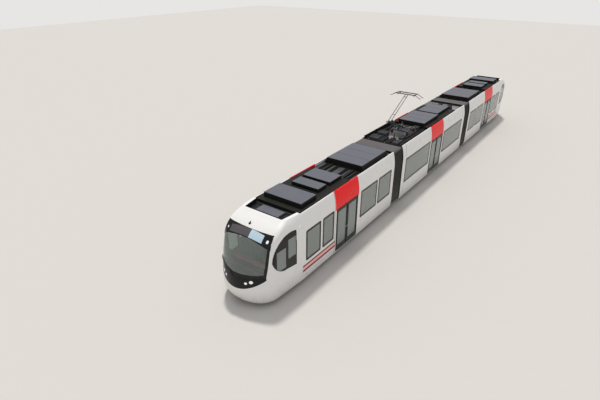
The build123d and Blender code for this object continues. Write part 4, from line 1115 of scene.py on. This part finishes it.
both_ends("display", DISPLAY_DARK, draped_panel(-0.76, 0.115, 2.575, 2.765), sides=False)
both_ends("pale_panel", DISPLAY_PALE, draped_panel(0.12, 0.69, 2.570, 2.775), sides=False)
both_ends("wiper", RUBBER, add_wiper, sides=False)

# %% [markdown]
# ## Camera pods and aerial
# Small white pods on the coves look back along the tram in place of mirrors. Each is a turned body with
# a dark round lens at its rear. A short dark aerial stands on the white roof over the windscreen.

# %% Camera pods and aerial
POD = (12.82, 1.160, 2.62)
POD_PROFILE = [
    (-0.080, 0.0), (-0.080, 0.026), (-0.074, 0.032), (0.0, 0.039), (0.05, 0.036), (0.10, 0.022),
    (0.118, 0.008), (0.12, 0.0),
]


def add_camera_pod(bm):
    add_turned(bm, POD_PROFILE, POD)


def add_lens(bm):
    rear = Vector(POD) - Vector((0.080, 0, 0))
    add_rod(
        bm, rear - Vector((0.004, 0, 0)), rear + Vector((0.006, 0, 0)), 0.022, segments=24, rounding=0.002
    )


def add_aerial(bm):
    foot = on_nose(-0.11, 2.86, 0.0)
    add_rod(
        bm, foot - Vector((0, 0, 0.02)), foot + Vector((0, 0, 0.012)), 0.055, 0.045, segments=24,
        rounding=0.004,
    )
    add_rod(bm, foot, foot + Vector((-0.03, 0, 0.075)), 0.030, 0.010)


both_ends("camera_pods", WHITE_TRIM, add_camera_pod)
both_ends("camera_lenses", RUBBER, add_lens)
both_ends("aerial", RUBBER, add_aerial, sides=False)

# %% [markdown]
# ## Roof boxes
# The boxes hold the traction gear and the air conditioning. Their lids are grey with a dark kerb all
# round and seams across the longer ones. Latches turned by a quarter run along the edges, and a
# lifting eye stands at each corner.

# %% Roof lids
END_LIDS = [
    (11.39, 12.35, 0.86, 3.19), (10.36, 10.94, 0.63, 3.15), (9.30, 10.16, 0.65, 3.15),
    (5.77, 8.03, 0.88, 3.16),
]
MIDDLE_LIDS = [(-0.98, 1.06, 0.74, 3.19), (-3.05, -1.21, 0.60, 3.17)]
COVER_LENGTH = 0.75
LATCH_STEP = 0.32


def add_lid_joints(lids):
    """Dark strips across each lid where two covers meet, and a kerb round it."""
    def make(bm):
        for x0, x1, half, top in lids:
            count = max(1, round((x1 - x0) / COVER_LENGTH))
            for index in range(1, count):
                x = x0 + (x1 - x0) * index / count
                add_block(
                    bm, (x - 0.006, -half + 0.02, top - 0.006), (x + 0.006, half - 0.02, top + 0.0015),
                    0.001, 1,
                )
            low, high = top - 0.030, top - 0.004
            for a, b in ((x0, x0 + 0.010), (x1 - 0.010, x1)):
                add_block(bm, (a, -half, low), (b, half, high), 0.003, 1)
            for side in (-1, 1):
                inner, outer = sorted((side * half, side * (half - 0.010)))
                add_block(bm, (x0 + 0.011, inner, low), (x1 - 0.011, outer, high), 0.003, 1)
    return make


def add_lid_metal(lids):
    """Quarter-turn latches and lifting eyes."""
    def make(bm):
        for x0, x1, half, top in lids:
            steps = max(2, round((x1 - x0) / LATCH_STEP))
            for index in range(steps):
                x = x0 + 0.07 + (x1 - x0 - 0.14) * index / (steps - 1)
                add_rod(
                    bm, (x, half - 0.045, top - 0.004), (x, half - 0.045, top + 0.006), 0.016, 0.013,
                    segments=12,
                )
            for x in (x0 + 0.10, x1 - 0.10):
                add_lifting_eye(bm, Vector((x, half - 0.11, top)))
    return make


def add_lifting_eye(bm, foot):
    """A ring on a small collar: a circle spun round the ring's centre."""
    centre = foot + Vector((0, 0, 0.030))
    start = Matrix.Translation(centre + Vector((0.020, 0, 0)))
    ring = bmesh.ops.create_circle(bm, cap_ends=False, segments=8, radius=0.006, matrix=start)
    loop = edges_of(ring["verts"])
    bmesh.ops.spin(
        bm, geom=loop + ring["verts"], cent=centre, axis=(0, 1, 0), dvec=(0, 0, 0),
        angle=2 * math.pi, steps=14, use_merge=True, use_duplicate=False,
    )
    add_rod(bm, foot - Vector((0, 0, 0.003)), foot + Vector((0, 0, 0.012)), 0.022, 0.016, segments=12)


all_sections(
    "lid_joints", RUBBER, add_lid_joints(END_LIDS), add_lid_joints(MIDDLE_LIDS), sides=False
)
all_sections(
    "lid_latches", BARE_STEEL, add_lid_metal(END_LIDS), add_lid_metal(MIDDLE_LIDS)
)

# %% [markdown]
# ## Cable ways on the roof
# Square trunks carry the cables along the roof, with a flange at each joint, and round conduits drop
# into the boxes. A conduit is a curve with a round bevel; a trunk is a block with softened edges.

# %% Cable ways
DECK_FACE = DECK + 0.001
FLANGE_STEP = 0.6


def add_trunk(bm, x0, x1, y, width, top):
    """A trunk with its flanges, and a row of screws along each edge of its cover."""
    add_block(bm, (x0, y - width / 2, DECK_FACE), (x1, y + width / 2, top), 0.006)
    count = max(1, round((x1 - x0) / FLANGE_STEP))
    for index in range(count + 1):
        x = x0 + 0.03 + (x1 - x0 - 0.06) * index / count
        low = (x - 0.012, y - width / 2 - 0.008, DECK_FACE)
        high = (x + 0.012, y + width / 2 + 0.008, top + 0.008)
        add_block(bm, low, high, 0.003, 1)
    for side in (-1, 1):
        row = y + side * (width / 2 - 0.014)
        for index in range(count * 2):
            x = x0 + (x1 - x0) * (index + 0.5) / (count * 2)
            add_rod(bm, (x, row, top - 0.002), (x, row, top + 0.004), 0.006, segments=6)


def add_conduit(bm, points, radius=0.017):
    """A bent pipe: a smooth curve through a few points."""
    curve = round_line(radius)
    curve.resolution_u = 5
    spline = add_spline(curve, "NURBS", points)
    spline.order_u = 3
    spline.use_endpoint_u = True
    add_curve(bm, curve)


def add_end_cables(bm):
    add_trunk(bm, 8.12, 9.18, 0.55, 0.14, 2.955)
    add_trunk(bm, 5.46, 5.70, 0.50, 0.20, 2.965)
    for y in (0.72, 0.77, 0.82):
        add_conduit(
            bm, [(8.00, y, 2.93), (8.20, y, 2.90), (8.60, y, 2.90), (9.00, y, 2.90), (9.26, y, 2.95)]
        )
    for y in (0.18, 0.24, 0.30):
        add_conduit(
            bm, [(8.02, y, 2.94), (8.16, y, 2.90), (8.70, y, 2.90), (9.10, y, 2.90), (9.24, y, 2.96)], 0.020
        )


def add_middle_cables(bm):
    add_trunk(bm, 1.20, 4.20, 0.82, 0.12, 2.950)
    add_trunk(bm, 3.55, 4.30, 0.20, 0.26, 2.985)
    add_trunk(bm, -4.25, -3.62, 0.30, 0.20, 2.960)
    for y in (0.60, 0.66, 0.72):
        add_conduit(
            bm,
            [
                (1.04, y, 2.95), (1.16, y, 2.90), (1.9, y, 2.90), (2.9, y, 2.90), (3.5, y + 0.02, 2.90),
                (4.22, y + 0.02, 2.90),
            ],
            0.016,
        )


all_sections("roof_cables", ROOF_BLACK, add_end_cables, add_middle_cables)

# %% [markdown]
# ## Round the collector
# Beside the raised collector stand ribbed equipment cases and two surge arresters with glazed sheds,
# and flexible leads come down to them. They crowd the deck, as they do in the photograph.

# %% Roof gear round the collector
RIBBED_CASES = [
    (3.02, 3.46, -0.78, -0.30, 3.085, 6), (3.70, 4.22, -0.86, -0.34, 3.040, 7),
    (1.16, 1.44, 0.24, 0.56, 3.020, 4), (3.72, 4.20, 0.40, 0.72, 3.000, 6),
    (2.86, 3.34, 0.34, 0.56, 2.980, 6),
]
ARRESTERS = [(3.20, 0.06), (1.30, -0.40)]
ARRESTER_TOP = 3.10
ARRESTER_SHEDS = 5
ROOF_LEAD = [
    (2.05, 0.50, 3.10), (2.20, 0.58, 3.14), (2.42, 0.60, 3.02), (2.60, 0.52, 2.92), (2.95, 0.50, 2.90)
]


def add_ribbed_cases(bm):
    for x0, x1, y0, y1, top, ribs in RIBBED_CASES:
        add_block(bm, (x0, y0, DECK_FACE), (x1, y1, top), 0.012)
        for index in range(ribs):
            x = x0 + (x1 - x0) * (index + 0.5) / ribs
            add_block(bm, (x - 0.010, y0 - 0.008, 2.90), (x + 0.010, y1 + 0.008, top + 0.012), 0.004, 1)


def add_arresters(bm):
    for x, y in ARRESTERS:
        add_rod(bm, (x, y, DECK_FACE), (x, y, ARRESTER_TOP), 0.030, segments=20)
        for index in range(ARRESTER_SHEDS):
            z = 2.91 + index * 0.036
            add_rod(bm, (x, y, z), (x, y, z + 0.014), 0.060, 0.042, segments=24)
        add_rod(
            bm, (x, y, ARRESTER_TOP), (x, y, ARRESTER_TOP + 0.03), 0.036, 0.030, segments=20, rounding=0.004
        )


def add_leads(bm):
    for side in (-1, 1):
        add_conduit(bm, [(x, side * y, z) for x, y, z in ROOF_LEAD], 0.014)


CASE_GREY = plain_finish(
    "case_grey", (0.042, 0.045, 0.054), 0.5, gloss=0.4, scale=160.0, bump=0.3, mottle=0.5
)
on_middle("ribbed_cases", CASE_GREY, add_ribbed_cases, sides=False)
on_middle("arresters", CERAMIC, add_arresters, sides=False)
on_middle("flexible_leads", RUBBER, add_leads, sides=False)

# %% [markdown]
# ## Collector dress
# The carbon strips sit on the head's alloy carriers and take the current. Glazed sheds stand round
# the four posts. Raising springs pull on the shaft. Each rides on the part of the linkage that
# carries it, so that the whole collector still folds.

# %% Collector strips, sheds and springs
POST_X = 0.42
POST_Y = 0.43
SHED_RISES = (0.030, 0.052, 0.068, 0.090, 0.106, 0.128)
SPRING_HEIGHT = 3.085
SPRING_RADIUS = 0.028
SPRING_TURNS = 14
STEPS_OF_A_TURN = 16


def add_carbon(bm):
    for side in (-1, 1):
        x = HEAD.x + side * 0.165
        add_block(bm, (x - 0.020, -0.515, HEAD.z + 0.0585), (x + 0.020, 0.515, HEAD.z + 0.0600), 0.0005, 1)
        for y in (-0.40, -0.20, 0.0, 0.20, 0.40):
            add_block(
                bm, (x - 0.026, y - 0.010, HEAD.z + 0.030), (x + 0.026, y + 0.010, HEAD.z + 0.048), 0.002, 1
            )


def add_sheds(bm):
    for x in (SHAFT.x - POST_X, SHAFT.x + POST_X):
        for y in (-POST_Y, POST_Y):
            for rise in SHED_RISES:
                add_rod(bm, (x, y, DECK + rise), (x, y, DECK + rise + 0.009), 0.082, 0.060, segments=28)


def add_springs(bm):
    """Two raising springs: a small circle spun round each spring's axis while it moves along."""
    for y in (-0.26, 0.26):
        start, end = Vector((1.66, y, SPRING_HEIGHT)), Vector((1.98, y, SPRING_HEIGHT))
        above = Matrix.Translation(start + Vector((0, 0, SPRING_RADIUS)))
        circle = bmesh.ops.create_circle(bm, cap_ends=False, segments=8, radius=0.0065, matrix=above)
        geometry = circle["verts"] + edges_of(circle["verts"])
        steps = SPRING_TURNS * STEPS_OF_A_TURN
        bmesh.ops.spin(
            bm, geom=geometry, cent=start, axis=(1, 0, 0), dvec=(end - start) / steps,
            angle=2 * math.pi * SPRING_TURNS, steps=steps, use_duplicate=False,
        )
        add_rod(bm, start - Vector((0.03, 0, 0)), start + Vector((0.03, 0, 0)), 0.020, segments=12)
        add_rod(bm, end - Vector((0.03, 0, 0)), end + Vector((0.02, 0, 0)), 0.020, segments=12)


def add_arm_dress(bm):
    """Collars and a flexible lead along the lower arm."""
    way = (KNEE - SHAFT).normalized()
    for reach in (0.18, 0.75, 1.35, 1.80):
        centre = SHAFT + way * reach
        add_rod(bm, centre - way * 0.020, centre + way * 0.020, 0.041, segments=20, rounding=0.004)
    lead = [SHAFT + way * reach + Vector((0, 0.045, 0.012)) for reach in (0.15, 0.50, 0.90, 1.30, 1.75)]
    add_conduit(bm, lead, 0.009)


one_piece("head_carbon", "collector_head", BRUSH_CARBON, add_carbon)
on_middle("collector_sheds", CERAMIC, add_sheds, sides=False)
on_middle("raising_springs", BARE_STEEL, add_springs, sides=False)
one_piece("lower_arm_dress", "collector_lower_arm", RUBBER, add_arm_dress)

# %% [markdown]
# ## Bogies
# Each bogie shows its axle boxes from the side and its brakes and dampers from below. Cover bolts
# stand in a ring on every axle box, calipers bite the brake discs, and a sand pipe runs down before
# each wheel. One bogie is modelled, and each of the four takes it to its own place.

# %% Bogie dress
DISC_X = 0.70
BOX_FACE = 0.798
BOLTS = 8
BOLT_CIRCLE = 0.096
DAMPER_Y = 0.82
SAND_PIPE = [
    (0.98, 0.742, 0.385), (1.10, 0.742, 0.385), (1.17, 0.70, 0.33), (1.215, 0.62, 0.22), (1.21, 0.56, 0.12)
]


def add_bolt_ring(bm, centre):
    for index in range(BOLTS):
        angle = 2 * math.pi * index / BOLTS
        foot = centre + Vector((BOLT_CIRCLE * math.cos(angle), 0, BOLT_CIRCLE * math.sin(angle)))
        add_rod(bm, foot, foot + Vector((0, 0.012, 0)), 0.009, segments=6)


def add_bogie_bolts(bm):
    for x in (-WHEEL_OFFSET, WHEEL_OFFSET):
        centre = Vector((x, BOX_FACE, AXLE_HEIGHT))
        add_rod(bm, centre, centre + Vector((0, 0.010, 0)), 0.085, 0.078, segments=32, rounding=0.003)
        add_bolt_ring(bm, centre)
        plug = centre + Vector((0, 0.008, 0))
        add_rod(bm, plug, centre + Vector((0, 0.020, 0)), 0.022, 0.018, segments=6)


def add_bogie_gear(bm):
    """Dampers, brake calipers and sand pipes on the left half of a bogie."""
    for x, lean in ((-0.24, -0.05), (0.24, 0.05)):
        add_rod(bm, (x, DAMPER_Y, 0.20), (x + lean * 0.6, DAMPER_Y, 0.32), 0.026, rounding=0.003)
        add_rod(bm, (x + lean * 0.5, DAMPER_Y, 0.30), (x + lean, DAMPER_Y, 0.37), 0.016, segments=12)
        for z, shift in ((0.20, 0.0), (0.37, lean)):
            add_rod(bm, (x + shift, 0.775, z), (x + shift, 0.845, z), 0.020, segments=12)
    for side in (-1, 1):
        pad = side * DISC_X
        add_block(bm, (pad - 0.05, 0.605, 0.255), (pad + 0.05, 0.628, 0.395), 0.008)
        add_block(bm, (pad - 0.05, 0.664, 0.255), (pad + 0.05, 0.690, 0.395), 0.008)
        add_block(bm, (side * 0.63 - 0.02, 0.600, 0.270), (side * 0.63 + 0.02, 0.695, 0.380), 0.010)
        add_rod(bm, (side * 0.41, 0.647, 0.30), (side * 0.63, 0.647, 0.32), 0.022)
        add_rod(
            bm, (side * 0.56, 0.590, 0.325), (side * 0.56, 0.704, 0.325), 0.034, segments=20, rounding=0.004
        )
        add_conduit(bm, [(side * x, y, z) for x, y, z in SAND_PIPE], 0.013)


for number, place_x in BOGIES:
    bogie = f"bogie_{number}"
    one_piece(
        f"{bogie}_bolts", bogie, BARE_STEEL, add_bogie_bolts, sides=True, shift=place_x
    )
    one_piece(f"{bogie}_gear", bogie, BOGIE_STEEL, add_bogie_gear, sides=True, shift=place_x)
print("four bogies dressed")

# %% [markdown]
# ## Cabin
# Seen through the tinted glass: grab poles at the doors, rails hung from the ceiling, light strips,
# and in the cab a desk with screens, levers and a red edge.

# %% Cabin
POLE = 0.017
POLE_Y = 0.560
FLOOR = 0.371
CEILING = 2.788
RAIL_Y = 0.46
RAIL_HEIGHT = 2.05
POLE_FROM_DOOR = 0.815
HANGER_STEP = 1.1


def add_poles(door_x):
    def make(bm):
        for x in (door_x - POLE_FROM_DOOR, door_x + POLE_FROM_DOOR):
            add_rod(bm, (x, POLE_Y, FLOOR), (x, POLE_Y, CEILING), POLE, segments=14)
            add_rod(bm, (x, POLE_Y, FLOOR), (x, POLE_Y, FLOOR + 0.012), 0.045, 0.035, segments=20)
    return make


def add_rails(x0, x1):
    def make(bm):
        add_rod(bm, (x0, RAIL_Y, RAIL_HEIGHT), (x1, RAIL_Y, RAIL_HEIGHT), POLE, segments=14, rounding=0.004)
        count = round((x1 - x0) / HANGER_STEP)
        for index in range(count + 1):
            x = x0 + 0.08 + (x1 - x0 - 0.16) * index / count
            add_rod(bm, (x, RAIL_Y, RAIL_HEIGHT), (x, RAIL_Y, CEILING), 0.011, segments=12)
    return make


def add_lights(x0, x1):
    def make(bm):
        add_block(bm, (x0, 0.30, CEILING - 0.022), (x1, 0.42, CEILING - 0.001), 0.008)
    return make


CABIN_LIGHT = plain_finish("cabin_light", (0.80, 0.80, 0.76), 0.4, scale=40.0, bump=0.05, mottle=0.05)
GRAB_STEEL = plain_finish(
    "grab_steel", (0.52, 0.50, 0.44), 0.3, metallic=0.8, scale=300.0, bump=0.1, mottle=0.1
)
all_sections("door_poles", GRAB_STEEL, add_poles(END_DOOR), add_poles(0.0))
all_sections("ceiling_rails", GRAB_STEEL, add_rails(5.7, 12.5), add_rails(-4.2, 4.2))
all_sections("ceiling_lights", CABIN_LIGHT, add_lights(5.6, 12.6), add_lights(-4.3, 4.3))


def add_desk_edge(bm):
    add_rod(bm, (14.30, -0.79, 1.212), (14.30, 0.79, 1.212), 0.022, rounding=0.005)
    add_block(bm, (14.10, -0.72, 1.47), (14.30, 0.72, 1.52), 0.020)


def add_desk_gear(bm):
    add_block(bm, (14.14, -0.70, 1.19), (14.26, 0.70, 1.47), 0.020)
    for y in (-0.34, 0.02, 0.38):
        add_block(bm, (14.10, y - 0.14, 1.21), (14.14, y + 0.14, 1.42), 0.010)
    for y in (-0.50, 0.52):
        add_rod(bm, (13.98, y, 1.13), (13.95, y, 1.27), 0.012, segments=12)
        add_rod(bm, (13.95, y, 1.26), (13.945, y, 1.30), 0.026, rounding=0.008)
    add_block(bm, (13.20, -0.20, 1.60), (13.26, 0.20, 1.76), 0.025)


DESK_RED = plain_finish("desk_red", (0.62, 0.10, 0.09), 0.5, scale=400.0, bump=0.2, mottle=0.2)
both_ends("desk_edge", DESK_RED, add_desk_edge, sides=False)
both_ends("desk_gear", RUBBER, add_desk_gear, sides=False)

# %% [markdown]
# ## Camera
# The camera stands where the photograph's did, worked out from the tram's own corners and from the
# width that trams of this kind have.

# %% Camera
CAMERA_PLACE = Vector((23.59, 9.09, 10.63))
CAMERA_TURN = math.radians(36.36)
CAMERA_FALL = math.radians(27.54)
CAMERA_LENS = 26.88
SENSOR_WIDTH = 36.0


def turned_to(way, track):
    return way.to_track_quat(track, "Y").to_matrix().to_4x4()


camera_data = bpy.data.cameras.new("photo_camera")
camera_data.sensor_width = SENSOR_WIDTH
camera_data.lens = CAMERA_LENS
camera_data.clip_end = 200.0
camera = put_in_scene("photo_camera", camera_data)
forward = -math.cos(CAMERA_FALL)
sight = Vector((forward * math.cos(CAMERA_TURN), forward * math.sin(CAMERA_TURN), -math.sin(CAMERA_FALL)))
camera.matrix_world = Matrix.Translation(CAMERA_PLACE) @ turned_to(sight, "-Z")
bpy.context.scene.camera = camera
print("camera at", tuple(round(value, 2) for value in CAMERA_PLACE), "lens", CAMERA_LENS)

# %% [markdown]
# ## Sun, sky and floor
# One soft sun comes from the far side and high up, as in the photograph, and an even sky fills the
# near side. The sky lights the tram at one strength and is seen at another, which keeps the
# background pale without washing out the paint.

# %% Sun, sky and floor
SUN_FROM = Vector((-0.30, -0.25, 1.0))
SUN_STRENGTH = 2.0
SUN_SPREAD = math.radians(6)
SUN_COLOUR = (1.0, 0.97, 0.93)
SKY_LIGHT = (0.62, 0.62, 0.625, 1.0)
SKY_SEEN = (0.80, 0.79, 0.775, 1.0)
FLOOR_REACH = 90.0

sun_data = bpy.data.lights.new("high_sun", "SUN")
sun_data.energy = SUN_STRENGTH
sun_data.angle = SUN_SPREAD
sun_data.color = SUN_COLOUR
put_in_scene("high_sun", sun_data).matrix_world = turned_to(SUN_FROM, "Z")

world = bpy.data.worlds.new("even_sky")
bpy.context.scene.world = world
world.use_nodes = True
sky = world.node_tree.nodes["Background"]
seen = place(world.node_tree, "ShaderNodeLightPath")
shade = mix_colours(world.node_tree, seen, SKY_LIGHT, SKY_SEEN)
world.node_tree.links.new(shade, sky.inputs["Color"])

FLOOR_PAINT = plain_finish(
    "floor_paint", (0.62, 0.600, 0.575), 0.8, gloss=0.1, scale=30.0, bump=0.1, mottle=0.03
)
floor_bm = bmesh.new()
bmesh.ops.create_grid(floor_bm, x_segments=1, y_segments=1, size=FLOOR_REACH)
floor_mesh = bpy.data.meshes.new("studio_floor")
floor_bm.to_mesh(floor_mesh)
floor_bm.free()
floor_mesh.materials.append(FLOOR_PAINT)
floor = put_in_scene("studio_floor", floor_mesh)
print("sun of", SUN_STRENGTH, "from", tuple(round(value, 2) for value in SUN_FROM))
bpy.context.scene.view_settings.view_transform = "Standard"

# %% [markdown]
# ## Closing the lesson
# The count of the pieces and of their faces is printed.

# %% Count the pieces and finish
print("pieces", len(pieces_made), "faces", sum(pieces_made))
